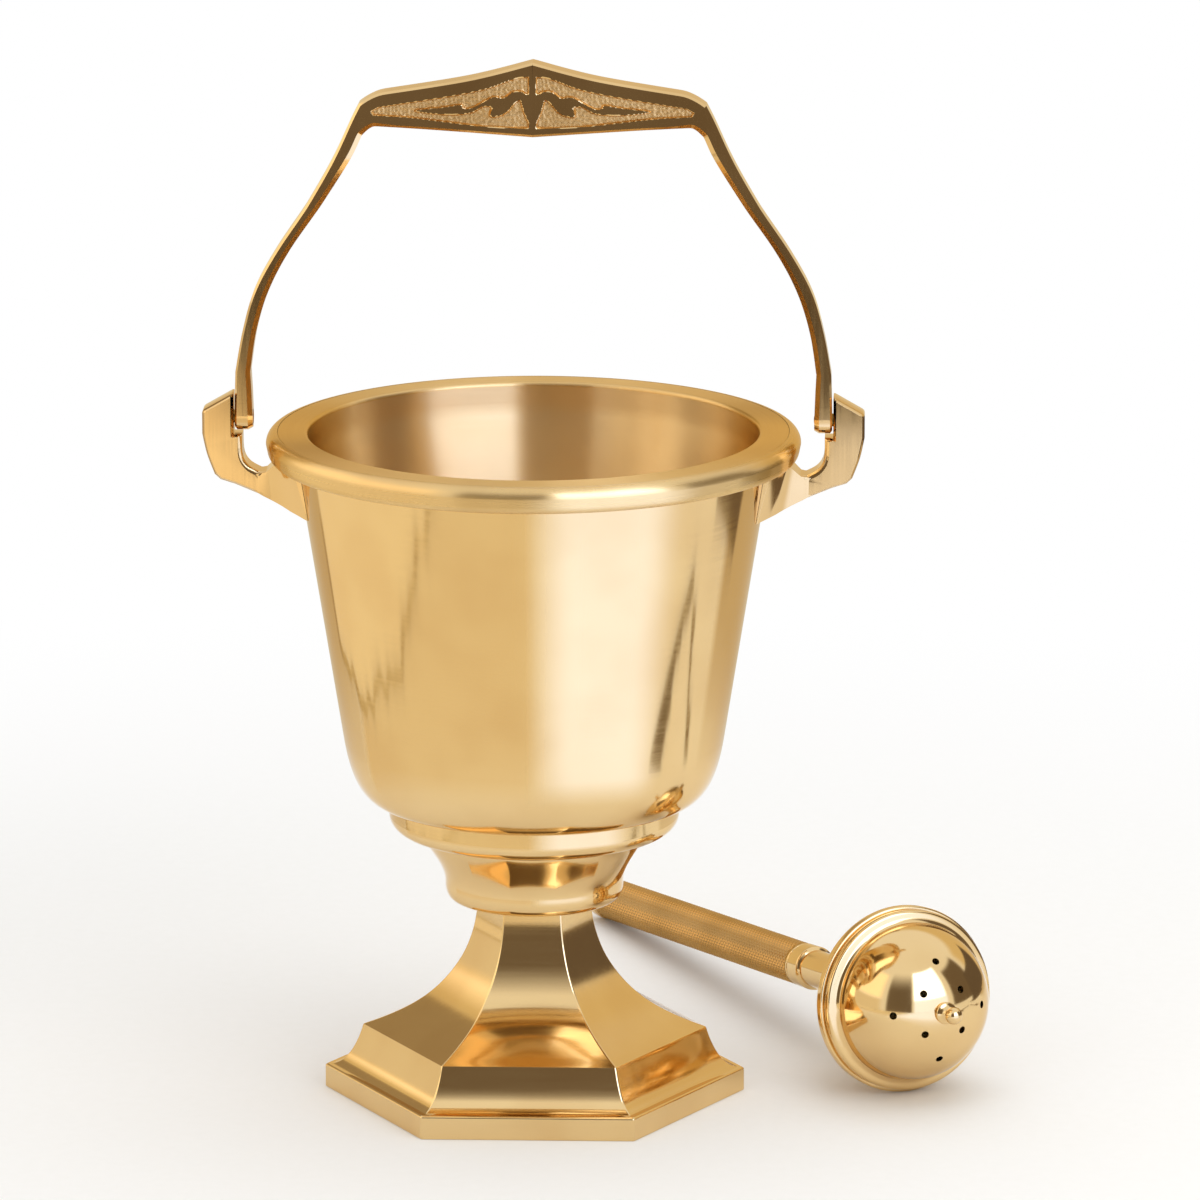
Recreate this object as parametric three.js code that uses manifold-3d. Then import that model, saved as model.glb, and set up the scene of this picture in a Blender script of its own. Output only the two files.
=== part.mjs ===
// Holy water pot of polished brass, with a swinging bail, a lift-out liner and a loose sprinkler.
// Millimetres, +Z up. The pot's axis is the Z axis and it stands on Z = 0.
// The bail's lugs are on the X axis, and the front of the six-sided foot faces -Y.

import * as THREE from "three";
import { mergeVertices } from "three/addons/utils/BufferGeometryUtils.js";
import Module from "manifold-3d";

const wasm = await Module();
wasm.setup();

// Heights of the pot's joints, from the top down
const rimTop = 179.3;
const rimUnderside = 172.4;
const bowlBottom = 80.2; // the bowl stands on the ring
const ringBottom = 71.2; // the ring stands on the collar
const stemTop = 53; // the collar stands on the foot

// The bowl
const rimRadius = 70; // widest point of the rim's bead
const beadRadius = 3;
const wallRadius = 62.2; // outside of the wall right under the rim
const wallTaper = 0.16; // how much the radius grows for each millimetre of height
const wallThickness = 1.8;
const floorThickness = 2;
const bowlCorner = 10.8; // height of the rounding between the wall and the bottom

// The ring, the collar and the foot
const ringRadius = 38.3;
const collarTop = 30.3;
const collarWaist = 23.6;
const footCorner = 55.8; // centre to corner of the six-sided plinth
const plinthHeight = 6;
const footEdge = 45.8; // centre to corner of the sharp edge above the cove
const footEdgeHeight = 17.2;
const stemCorner = 15.7;
const padRebate = 3.5; // width of the plinth's border round the pad
const padThickness = 1.5;
const nutCeiling = 36; // ceiling of the hollow under the foot, where the washer bears

// The tie rod and what is on it
const rodRadius = 3;
const rodEndBelow = 27;
const rodEndAbove = 90;
const nutCorner = 5.8;
const nutHeight = 5;
const washerRadius = 9;
const washerThickness = 1.6;

// The liner
const linerThickness = 0.9;
const linerBottom = 91;
const linerMouth = 59;
const linerNeck = 5.2; // height of the upright band inside the mouth
const flangeRadius = 67;
const flangeThickness = 1.2;

// The bail
const pivotHeight = 182.5;
const footInside = 73.4; // the two faces of the bail's foot along X
const footOutside = 78.1;
const bailDepth = 7; // front to back
const bailEdge = 0.7; // bevel along the bail's edges
const gripTop = 277.2;
const gripUnderside = 257.6;
const recessDepth = 0.7;

// The lugs, with their pins and screws
const lugDepth = 8; // front to back
const lugEdge = 1;
const lugReach = 86.6; // outermost point of a lug along X
const lugLow = 156.5; // lower edge of the flared plate
const lugFlare = 25.6; // front to back where the plate meets the wall
const pinRadius = 1.7;
const pinEnd = lugReach - 2;
const lugScrewHeight = 165.5;
const lugScrewSpacing = 8;
const lugScrewRadius = 1.6;
const lugScrewHead = 2.8;
const lugScrewReach = 4.3; // how far a screw goes into the lug

// The sprinkler, along its own axis from the joint between the head's two halves
const headFlange = 25;
const domeRadius = 21;
const domeCentre = 2.6;
const headWall = 1.2;
const cupEnd = -20;
const cupNose = 8; // radius of the cup's flat end, where the ferrule sits
const handleRadius = 5.9;
const handleFront = -60.3;
const handleBack = -186.5;
const spigotRadius = 3.9;
const capEnd = -192;
const capRadius = 6;
const ferruleRing = 6; // length of the plain ring in front of the handle
const studRadius = 1.3;
const finialBall = 2.3;
const finialReach = 28.5; // centre of the finial's ball

// The head's sprinkling holes: two rings, with the outer holes between the inner ones
const innerHoles = 21.5; // degrees off the axis
const outerHoles = 38.5;
const holesPerRing = 4;
const holeRadius = 1;

// Where the sprinkler lies beside the pot
const headX = 98.4;
const headY = 1.3;
const sprinklerTurn = -63.4; // degrees from +X, seen from above
const flangeRest = -1.5; // place along the axis where the flange touches the floor

const gap = 0.3; // between pieces that are cut to each other
const roundSides = 40;
const headSides = 32;
const smallSides = 20;
const holeSides = 12;

const brass = 0xe1b973;
const satinBrass = 0xc9a460;
const darkBrass = 0xb88d45;
const brownFelt = 0x5d3a2a;
const yellowFoam = 0xd9c27a;

function material(color, roughness, metalness) {
  return new THREE.MeshStandardMaterial({ color, roughness, metalness });
}

const polished = material(brass, 0.12, 1);
const satin = material(satinBrass, 0.4, 1);
const knurled = material(darkBrass, 0.45, 1);
const felt = material(brownFelt, 0.95, 0);
const foam = material(yellowFoam, 0.95, 0);

function vectors(points) {
  return points.map(([x, y]) => new THREE.Vector2(x, y));
}

// A piece turned about the Z axis. The [radius, height] points run up its outside.
function turned(points, sides = roundSides) {
  return new THREE.LatheGeometry(vectors(points), sides, Math.PI / 2).rotateX(Math.PI / 2);
}

// A six-sided piece with corners on the X axis. The radii are measured to the corners.
function sixSided(points) {
  return turned(points, 6);
}

// A straight pin, rod or drill along Z, from one height to another.
function rod(radius, from, to, sides = smallSides) {
  return turned([[0, from], [radius, from], [radius, to], [0, to]], sides);
}

// A pin or a drill along X at the height of the bail's pivot.
function crossRod(radius, from, to) {
  return rod(radius, from, to, holeSides).rotateY(Math.PI / 2).translate(0, 0, pivotHeight);
}

// An outline of [x, z] points, made solid to both sides of Y = 0.
function plate(outline, depth, edge = 0) {
  const geometry = new THREE.ExtrudeGeometry(new THREE.Shape(vectors(outline)), {
    depth: depth - 2 * edge,
    bevelEnabled: edge > 0,
    bevelThickness: edge,
    bevelSize: edge,
    bevelOffset: -edge,
    bevelSegments: 1,
  });
  return geometry.translate(0, 0, edge - depth / 2).rotateX(Math.PI / 2);
}

// A solid between a low outline and a high one that has as many points.
function lofted(low, high, lowZ, highZ) {
  const count = low.length;
  const level = (outline, z) => outline.map(([x, y]) => [x, y, z]);
  const corners = [...level(low, lowZ), ...level(high, highZ)];
  const caps = THREE.ShapeUtils.triangulateShape(vectors(low), []);
  const faces = caps.flatMap(([a, b, c]) => [a, c, b, a + count, b + count, c + count]);
  for (let i = 0; i < count; i += 1) {
    const next = (i + 1) % count;
    faces.push(i, next, next + count, i, next + count, i + count);
  }
  const geometry = new THREE.BufferGeometry();
  geometry.setAttribute("position", new THREE.Float32BufferAttribute(corners.flat(), 3));
  return geometry.setIndex(faces);
}

function pointsOn(curve, steps) {
  return curve.getPoints(steps).map((point) => [point.x, point.y]);
}

// Points along a smooth curve through a few given ones.
function smooth(points, steps) {
  return pointsOn(new THREE.SplineCurve(vectors(points)), steps);
}

// Points round a corner, from a start to an end.
function rounded(start, corner, end, steps) {
  return pointsOn(new THREE.QuadraticBezierCurve(...vectors([start, corner, end])), steps);
}

// Points on a circle about a centre, with angles in degrees.
function arc([centreX, centreY], radius, from, to, steps) {
  return Array.from({ length: steps + 1 }, (_, i) => {
    const angle = THREE.MathUtils.degToRad(from + ((to - from) * i) / steps);
    return [centreX + radius * Math.cos(angle), centreY + radius * Math.sin(angle)];
  });
}

// A geometry as a solid that can be cut and joined.
function solid(geometry) {
  const bare = new THREE.BufferGeometry();
  bare.setAttribute("position", geometry.getAttribute("position"));
  bare.setIndex(geometry.index);
  const merged = mergeVertices(bare, 1e-4);
  return new wasm.Manifold(
    new wasm.Mesh({
      numProp: 3,
      vertProperties: merged.attributes.position.array,
      triVerts: new Uint32Array(merged.index.array),
    }),
  );
}

function geometryOf(made) {
  const { numProp, vertProperties, triVerts } = made.getMesh();
  const geometry = new THREE.BufferGeometry();
  const buffer = new THREE.InterleavedBuffer(vertProperties, numProp);
  geometry.setAttribute("position", new THREE.InterleavedBufferAttribute(buffer, 3, 0));
  geometry.setIndex(new THREE.BufferAttribute(triVerts, 1));
  const separate = geometry.toNonIndexed();
  separate.computeVertexNormals();
  return separate;
}

// One geometry less some others.
function cut(geometry, ...tools) {
  return geometryOf(tools.reduce((left, tool) => left.subtract(solid(tool)), solid(geometry)));
}

function joined(first, ...others) {
  return geometryOf(others.reduce((whole, other) => whole.add(solid(other)), solid(first)));
}

function common(first, second) {
  return geometryOf(solid(first).intersect(solid(second)));
}

function piece(name, geometry, look) {
  const mesh = new THREE.Mesh(geometry, look);
  mesh.name = name;
  return mesh;
}

// Outside radius of the bowl's straight wall at a height.
function wallAt(height) {
  return wallRadius - wallTaper * (rimUnderside - height);
}

// The bowl's outside, from under its bottom to under its rim.
function bowlOutside() {
  const cornerTop = bowlBottom + bowlCorner;
  const bottomEdge = [ringRadius + 1.2, bowlBottom];
  const corner = [wallAt(cornerTop) - 1.5, bowlBottom + 0.4];
  return [
    ...rounded(bottomEdge, corner, [wallAt(cornerTop), cornerTop], 5),
    [wallAt(rimUnderside), rimUnderside],
  ];
}

// Bowl: a tapered shell with a heavy turned rim. The rim has a seat for the liner's flange.
function bowl() {
  const bore = rodRadius + gap;
  const floor = bowlBottom + floorThickness;
  const seat = rimTop - flangeThickness - gap;
  const seatInside = wallAt(seat) - wallThickness - 0.9;
  const neck = rimUnderside - 4;
  const cornerTop = floor + bowlCorner - floorThickness;
  const insideFoot = wallAt(cornerTop) - wallThickness;
  const shell = turned([
    [bore, bowlBottom],
    ...bowlOutside(),
    [rimRadius - 1.4, rimUnderside],
    [rimRadius - 0.5, rimUnderside + 1.2],
    ...arc([rimRadius - beadRadius, rimTop - beadRadius], beadRadius, 0, 90, 4),
    [flangeRadius + gap, seat],
    [seatInside, seat],
    [wallAt(neck) - wallThickness, neck],
    ...rounded([insideFoot, cornerTop], [insideFoot - 1.5, floor + 0.4], [ringRadius, floor], 4),
    [bore, floor],
    [bore, bowlBottom],
  ]);
  return cut(shell, ...screwPlaces().map(({ turn }) => lugScrew(turn, gap)));
}

// Liner: a thin cup whose flat flange lies flush in the bowl's rim.
function liner() {
  const outsideAt = (height) => wallAt(height) - wallThickness - 1.5 * gap;
  const bendTop = linerBottom + 5;
  const shoulder = rimUnderside - 1;
  const neckBottom = rimTop - linerNeck;
  const wallFoot = outsideAt(bendTop);
  return turned([
    [0, linerBottom],
    ...rounded([wallFoot - 5, linerBottom], [wallFoot - 0.6, linerBottom + 0.3], [wallFoot, bendTop], 3),
    [outsideAt(shoulder), shoulder],
    [linerMouth + linerThickness, rimTop - flangeThickness],
    [flangeRadius, rimTop - flangeThickness],
    [flangeRadius, rimTop],
    [linerMouth + 0.7, rimTop],
    [linerMouth, rimTop - 0.7],
    [linerMouth, neckBottom + 0.7],
    [linerMouth - 0.5, neckBottom],
    [outsideAt(shoulder) - linerThickness, shoulder],
    [wallFoot - linerThickness, bendTop],
    [wallFoot - 5, linerBottom + linerThickness],
    [0, linerBottom + linerThickness],
  ]);
}

// Ring moulding between the bowl and the collar, rounded in below.
function ring() {
  const bore = rodRadius + gap;
  const under = [ringRadius - 4.5, ringBottom + 0.9];
  return turned([
    [bore, ringBottom],
    [ringRadius - 8, ringBottom],
    ...rounded(under, [ringRadius, ringBottom + 1.6], [ringRadius, ringBottom + 5], 4),
    [ringRadius, bowlBottom],
    [bore, bowlBottom],
    [bore, ringBottom],
  ]);
}

// Collar: hollow-curved above and rounded off below.
function collar() {
  const bore = rodRadius + gap;
  const waist = [collarWaist, stemTop + 4.4];
  const side = smooth([waist, [24.4, 61.1], [26.3, 64.8], [collarTop, ringBottom]], 5);
  return turned([
    [bore, stemTop],
    ...rounded([20.5, stemTop], [collarWaist, stemTop + 0.6], waist, 3),
    ...side.slice(1),
    [bore, ringBottom],
    [bore, stemTop],
  ]);
}

// Foot: a six-sided casting, hollow from below, with a plinth, a cove and a long sweep to the stem.
function foot() {
  const edge = [footEdge, footEdgeHeight];
  const coveStart = [footCorner - 0.6, plinthHeight + 0.3];
  const stem = [stemCorner, stemTop];
  const sweep = smooth([edge, [36.5, 21.4], [27.8, 26.8], [20.6, 35], [16.8, 43.3], stem], 12);
  const outside = sixSided([
    [0, 0],
    [footCorner, 0],
    [footCorner, plinthHeight],
    ...rounded(coveStart, [49.2, 8.6], edge, 5),
    ...sweep.slice(1),
    [0, stemTop],
  ]);
  const rebate = footCorner - padRebate;
  const hollow = sixSided([
    [0, -1],
    [rebate, -1],
    [rebate, padThickness],
    [rebate - 2.8, padThickness],
    [rebate - 6.3, plinthHeight + 1.5],
    [43.4, 12],
    [39, 15.5],
    [30, 19.5],
    [22, 24.5],
    [16.5, 30],
    [14, nutCeiling],
    [0, nutCeiling],
  ]);
  return cut(outside, hollow, rod(rodRadius + gap, nutCeiling - 1, stemTop + 1));
}

function footPad() {
  const corner = footCorner - padRebate - gap;
  return sixSided([[0, 0], [corner, 0], [corner, padThickness], [0, padThickness]]);
}

function washer(from) {
  const to = from + washerThickness;
  return cut(rod(washerRadius, from, to), rod(rodRadius + gap, from - 1, to + 1));
}

function nut(from) {
  const to = from + nutHeight;
  const body = sixSided([[0, from], [nutCorner, from], [nutCorner, to], [0, to]]);
  return cut(body, rod(rodRadius + gap, from - 1, to + 1));
}

// The four screws that hold the lugs, each with its angle round the pot.
function screwPlaces() {
  const half = THREE.MathUtils.radToDeg(Math.asin(lugScrewSpacing / 2 / wallAt(lugScrewHeight)));
  return [
    { name: "right_lug_front_screw", turn: -half },
    { name: "right_lug_rear_screw", turn: half },
    { name: "left_lug_front_screw", turn: 180 + half },
    { name: "left_lug_rear_screw", turn: 180 - half },
  ];
}

// A countersunk screw square to the wall, with its head inside the bowl.
// With some extra it is the hole for one, which runs on into the bowl.
function lugScrew(turn, extra) {
  const head = 0.25 - wallThickness;
  const inner = head - (extra > 0 ? 2 : 0);
  const end = lugScrewReach + extra;
  const shape = turned([
    [0, inner],
    [lugScrewHead + extra, inner],
    [lugScrewHead + extra, head],
    [lugScrewRadius + extra, head + 1],
    [lugScrewRadius + extra, end],
    [0, end],
  ], holeSides);
  return shape
    .rotateY(Math.PI / 2 + Math.atan(wallTaper))
    .translate(wallAt(lugScrewHeight), 0, lugScrewHeight)
    .rotateZ(THREE.MathUtils.degToRad(turn));
}

// The arm of the right lug, with an upright behind the bail's foot and a ledge under it.
function lugArm() {
  const upright = footOutside + gap;
  const ledge = pivotHeight - 4.3;
  const back = smooth([[lugReach, 178.5], [85.4, 173], [83.4, 167.6]], 3);
  const throat = smooth([[71.5, 168.3], [74.4, 170], [76, 172.9], [76.2, ledge]], 4);
  const outline = [
    [upright, ledge],
    [upright, 189.3],
    [lugReach, 184.6],
    ...back,
    [81.9, 166.2],
    [78.1, 165],
    [70.7, 161.9],
    [68, 160.7],
    [68, 168.3],
    ...throat,
  ];
  return plate(outline.reverse(), lugDepth, lugEdge);
}

// The flared plate by which the right lug sits on the bowl's wall.
function lugPlate() {
  const high = rimUnderside - gap;
  const half = lugFlare / 2;
  const stem = lugDepth / 2;
  const bend = stem + 2.5;
  const flare = (edgeX, bendX, stemX) => [
    [50, -half], [edgeX, -half], [bendX, -bend], [stemX, -stem], [72, -stem],
    [72, stem], [stemX, stem], [bendX, bend], [edgeX, half], [50, half],
  ];
  const body = lofted(flare(58.5, 64.6, 69.5), flare(62.6, 66.7, 70.2), lugLow, high);
  const side = plate([
    [50, lugLow], [58.5, 157.3], [63.5, 158.7], [70.7, 161.9], [72, 162.4],
    [72, 168.3], [70, 168.3], [66.2, high], [50, high],
  ], lugFlare + 2);
  return common(body, side);
}

// Right lug: a cast arm that carries one foot of the bail. The left one is the same, turned round.
function lug() {
  const bowlSpace = turned([
    [0, bowlBottom],
    ...bowlOutside().map(([radius, height]) => [radius + gap, height]),
    [0, rimUnderside],
  ]);
  const pinHole = crossRod(pinRadius + gap, footOutside - 1, pinEnd);
  const screwHoles = screwPlaces().slice(0, 2).map(({ turn }) => lugScrew(turn, gap));
  return cut(joined(lugArm(), lugPlate()), bowlSpace, pinHole, ...screwHoles);
}

// Pivot pin: pressed into the lug, flush with the inside of the bail's foot.
function pivotPin() {
  return crossRod(pinRadius, footInside + 0.1, pinEnd - gap);
}

// Outer edge of the bail's right half, from the middle of the grip to the pivot.
function bailOutside() {
  const corner = [40.2, 269];
  const elbow = [50.6, 253.6];
  const roof = smooth([[0, gripTop], [16.8, 272.9], corner], 4);
  const shoulder = smooth([corner, [44.4, 266.9], [46.6, 263.8], elbow], 5);
  const arm = smooth([elbow, [58.2, 240.4], [67, 227.2], [72.7, 216.6], [75.8, 205.9], [77.8, 195]], 8);
  return [...roof, ...shoulder.slice(1), ...arm.slice(1), [footOutside, pivotHeight]];
}

// Inner edge of the bail's right half, from the pivot to the middle of the grip.
function bailInside() {
  const elbow = [45.9, 253.6];
  const corner = [41.7, 260.3];
  const arm = smooth([[73.9, 195], [72.2, 205.9], [68.9, 216.6], [63.4, 227.2], [54.3, 240.4], elbow], 8);
  const bend = smooth([elbow, [44.6, 257.7], corner], 3);
  const belly = smooth([corner, [26, 259.4], [0, gripUnderside]], 4);
  return [[footInside, pivotHeight], ...arm, ...bend.slice(1), ...belly.slice(1)];
}

// The sunk field of one half of the grip. The side is 1 for the right half and -1 for the left.
function gripRecess(side) {
  const roof = smooth([[0.9, 273.6], [5, 272.9], [12.2, 270.3], [23, 268.1], [40, 265.4]], 6);
  const floor = smooth([[37.6, 263], [30.4, 262.5], [12.2, 260.4], [0.9, 260]], 4);
  return [...roof, [42, 264.3], [41.3, 263.2], ...floor].map(([x, z]) => [side * x, z]);
}

// The round end of one of the bail's arms, where it turns on its pin.
function bailFoot(side) {
  const round = bailDepth / 2;
  const shape = turned([
    [0, footInside],
    [round - bailEdge, footInside],
    [round, footInside + bailEdge],
    [round, footOutside - bailEdge],
    [round - bailEdge, footOutside],
    [0, footOutside],
  ], smallSides);
  return shape.rotateY((side * Math.PI) / 2).translate(0, 0, pivotHeight);
}

// Bail: one casting with a broad grip, sunk fields on both faces and round feet.
function bail() {
  const right = [...bailOutside(), ...bailInside()];
  const left = right.slice(1, -1).reverse().map(([x, z]) => [-x, z]);
  const strap = plate([...right, ...left], bailDepth, bailEdge);
  const pinHole = crossRod(pinRadius + gap, -footOutside - 1, footOutside + 1);
  const sunk = bailDepth - recessDepth;
  const fields = [1, -1].flatMap((side) => [1, -1].map((face) =>
    plate(gripRecess(side), bailDepth).translate(0, face * sunk, 0)));
  return cut(joined(strap, bailFoot(1), bailFoot(-1)), pinHole, ...fields);
}

// Front half of the sprinkler's head: a dome with a flange and two rings of holes.
function sprinklerDome() {
  const inner = domeRadius - headWall;
  const edge = headFlange - 0.8;
  const hole = studRadius + gap;
  const centre = [0, domeCentre];
  const noseAngle = (radius) => THREE.MathUtils.radToDeg(Math.acos(hole / radius));
  const shell = turned([
    [inner, gap / 2],
    [edge - 0.7, gap / 2],
    [edge, 0.8],
    [edge, 1.8],
    [edge - 0.7, 2.5],
    [domeRadius + 0.4, 2.7],
    ...arc(centre, domeRadius, 3, noseAngle(domeRadius), 8),
    ...arc(centre, inner, noseAngle(inner), 0, 6),
    [inner, gap / 2],
  ], headSides);
  const drills = [];
  for (let i = 0; i < 2 * holesPerRing; i += 1) {
    const tilt = THREE.MathUtils.degToRad(i % 2 ? outerHoles : innerHoles);
    const drill = rod(holeRadius, domeRadius - 4, domeRadius + 3, holeSides);
    drill.rotateY(tilt).rotateZ(((i + 1) * Math.PI) / holesPerRing).translate(0, 0, domeCentre);
    drills.push(drill);
  }
  return cut(shell, ...drills);
}

// Rear half of the head, with the threaded lip that the dome screws on to.
function sprinklerCup() {
  const bore = rodRadius + gap;
  const lip = domeRadius - headWall - gap;
  const lipInside = lip - 1.1;
  const inside = cupEnd + headWall + 0.4;
  return turned([
    [bore, cupEnd],
    ...rounded([cupNose, cupEnd], [19.5, cupEnd + 3], [domeRadius, -3.4], 6),
    [headFlange - 0.7, -2.8],
    [headFlange, -2.1],
    [headFlange, -0.9],
    [headFlange - 0.7, -gap / 2],
    [lip, -gap / 2],
    [lip, 3.6],
    [lipInside, 3.6],
    ...rounded([lipInside, -4], [17, inside + 2.8], [cupNose, inside], 4),
    [bore, inside],
    [bore, cupEnd],
  ], headSides);
}

// Screw through the cup's bottom that holds the head to the ferrule.
function sprinklerScrew() {
  const seat = cupEnd + headWall + 0.4 + gap;
  const tip = cupEnd - 13;
  const headRadius = 5.5;
  return turned([
    [0, tip],
    [rodRadius, tip],
    [rodRadius, seat],
    [headRadius, seat],
    [headRadius, seat + 2],
    [headRadius - 0.9, seat + 2.6],
    [0, seat + 2.6],
  ], smallSides);
}

function sprinklerSponge() {
  const bottom = cupEnd + 5.2;
  return turned([
    [0, bottom],
    [12, bottom],
    [16, -8],
    [17, -3],
    [17, 5],
    [15.6, 10],
    [11, 14],
    [0, 14.6],
  ], smallSides);
}

// Finial on the dome's nose: a stud through the dome, a collar, a neck and a ball.
function sprinklerFinial() {
  const seat = domeCentre + domeRadius + 0.1;
  return turned([
    [0, seat - 3],
    [studRadius, seat - 3],
    [studRadius, seat],
    [2.9, seat],
    [3, seat + 0.6],
    [2.1, seat + 1.3],
    [1.2, seat + 2],
    ...arc([0, finialReach], finialBall, -58, 86, 6),
    [0, finialReach + finialBall],
  ], 16);
}

// Ferrule: a turned neck with a plain ring, a bore for the screw and a spigot for the handle.
function sprinklerFerrule() {
  const front = cupEnd - gap;
  const shoulder = handleFront + gap;
  const ringFront = handleFront + ferruleRing;
  const ringRadiusHere = handleRadius + 0.1;
  const spigotEnd = handleFront - 10;
  const boreEnd = cupEnd - 14;
  return turned([
    [0, spigotEnd],
    [spigotRadius, spigotEnd],
    [spigotRadius, shoulder],
    [ringRadiusHere, shoulder],
    [ringRadiusHere, ringFront],
    ...smooth([[5.2, ringFront + 0.7], [5.2, front - 14], [5.8, front - 7], [cupNose, front]], 6),
    [rodRadius + gap, front],
    [rodRadius + gap, boreEnd],
    [0, boreEnd],
  ], smallSides);
}

// Handle: a knurled bar with a socket at each end.
function sprinklerHandle() {
  const socket = spigotRadius + gap;
  const socketDepth = 12;
  return turned([
    [0, handleBack + socketDepth],
    [socket, handleBack + socketDepth],
    [socket, handleBack],
    [handleRadius - 0.3, handleBack],
    [handleRadius, handleBack + 0.5],
    [handleRadius, handleFront - 0.5],
    [handleRadius - 0.3, handleFront],
    [socket, handleFront],
    [socket, handleFront - socketDepth],
    [0, handleFront - socketDepth],
  ], smallSides);
}

function sprinklerCap() {
  const shoulder = handleBack - gap;
  const spigotEnd = handleBack + 10;
  return turned([
    [0, capEnd],
    ...rounded([2.5, capEnd], [capRadius - 0.4, capEnd], [capRadius, capEnd + 2], 4),
    [capRadius, shoulder],
    [spigotRadius, shoulder],
    [spigotRadius, spigotEnd],
    [0, spigotEnd],
  ], smallSides);
}

function pot() {
  const group = new THREE.Group();
  const floor = bowlBottom + floorThickness;
  const washerUnder = nutCeiling - washerThickness;
  group.add(
    piece("bowl", bowl(), polished),
    piece("liner", liner(), satin),
    piece("ring_moulding", ring(), polished),
    piece("collar", collar(), polished),
    piece("foot", foot(), polished),
    piece("foot_pad", footPad(), felt),
    piece("tie_rod", rod(rodRadius, rodEndBelow, rodEndAbove), knurled),
    piece("foot_washer", washer(washerUnder), knurled),
    piece("foot_nut", nut(washerUnder - nutHeight), knurled),
    piece("bowl_washer", washer(floor), knurled),
    piece("bowl_nut", nut(floor + washerThickness), knurled),
    piece("bail", bail(), polished),
  );
  return group;
}

// Both lugs with their pins, and the screws that hold them.
function lugs() {
  const group = new THREE.Group();
  for (const [name, angle] of [["right", 0], ["left", Math.PI]]) {
    group.add(
      piece(`${name}_lug`, lug().rotateZ(angle), polished),
      piece(`${name}_pivot_pin`, pivotPin().rotateZ(angle), polished),
    );
  }
  for (const { name, turn } of screwPlaces()) {
    group.add(piece(name, lugScrew(turn, 0), knurled));
  }
  return group;
}

// The sprinkler lies on the floor, on the edge of its head's flange and the end of its cap.
function sprinkler() {
  const capRest = capEnd + 2;
  const tilt = Math.atan((headFlange - capRadius) / (flangeRest - capRest));
  const lying = new THREE.Group();
  lying.rotation.y = Math.PI / 2 - tilt;
  lying.add(
    piece("sprinkler_dome", sprinklerDome(), polished),
    piece("sprinkler_finial", sprinklerFinial(), polished),
    piece("sprinkler_cup", sprinklerCup(), polished),
    piece("sprinkler_sponge", sprinklerSponge(), foam),
    piece("sprinkler_screw", sprinklerScrew(), knurled),
    piece("sprinkler_ferrule", sprinklerFerrule(), polished),
    piece("sprinkler_handle", sprinklerHandle(), knurled),
    piece("sprinkler_end_cap", sprinklerCap(), polished),
  );
  const group = new THREE.Group();
  const height = headFlange * Math.cos(tilt) - flangeRest * Math.sin(tilt);
  group.position.set(headX, headY, height);
  group.rotation.z = THREE.MathUtils.degToRad(sprinklerTurn);
  group.add(lying);
  return group;
}

const holyWaterPot = new THREE.Group();
holyWaterPot.add(pot(), lugs(), sprinkler());

export default holyWaterPot;
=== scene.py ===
# Holy water pot of polished brass, with its bail, lift-out liner and loose sprinkler.
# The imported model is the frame; this script dresses it, lights it and places the camera.
import math

import bpy
import numpy as np
from mathutils import Matrix, Vector


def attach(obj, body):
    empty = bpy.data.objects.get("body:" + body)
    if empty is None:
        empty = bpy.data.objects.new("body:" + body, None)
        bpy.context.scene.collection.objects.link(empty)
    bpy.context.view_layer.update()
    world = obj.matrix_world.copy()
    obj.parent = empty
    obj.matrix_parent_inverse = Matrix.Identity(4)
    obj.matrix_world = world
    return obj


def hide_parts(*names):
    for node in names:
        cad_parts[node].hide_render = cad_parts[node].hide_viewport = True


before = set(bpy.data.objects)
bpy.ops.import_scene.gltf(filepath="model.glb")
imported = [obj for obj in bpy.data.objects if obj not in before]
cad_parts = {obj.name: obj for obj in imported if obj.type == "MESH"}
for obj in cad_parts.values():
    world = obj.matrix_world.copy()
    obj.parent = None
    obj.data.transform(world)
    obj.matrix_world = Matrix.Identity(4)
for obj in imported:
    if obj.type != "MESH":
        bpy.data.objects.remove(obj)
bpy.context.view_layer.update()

mm = 0.001
scene = bpy.context.scene
rng = np.random.RandomState(11)
print("frame loaded:", len(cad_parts), "nodes")


# Curves: every outline below is in millimetres

# the same smooth curve through points that the CAD uses
def smoothLine(points, steps):
    pts = np.array(points, float)
    last = len(pts) - 1
    line = []
    for i in range(steps + 1):
        place = last * i / steps
        k = min(int(place), last)
        w = place - k
        before, here = pts[max(k - 1, 0)], pts[k]
        after, beyond = pts[min(k + 1, last)], pts[min(k + 2, last)]
        a, b = (after - before) / 2, (beyond - here) / 2
        bend, lean = 2 * here - 2 * after + a + b, 3 * after - 3 * here - 2 * a - b
        line.append(bend * w**3 + lean * w**2 + a * w + here)
    return np.array(line)


def bezier(start, pullA, pullB, end, steps):
    t = np.linspace(0, 1, steps + 1)[:, None]
    a, b, c, d = (np.array(p, float) for p in (start, pullA, pullB, end))
    return (1 - t) ** 3 * a + 3 * (1 - t) ** 2 * t * b + 3 * (1 - t) * t * t * c + t**3 * d


def arc(centre, radius, start, stop, steps):
    angle = np.radians(np.linspace(start, stop, steps + 1))
    return np.stack([centre[0] + radius * np.cos(angle), centre[1] + radius * np.sin(angle)], axis=1)


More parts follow.
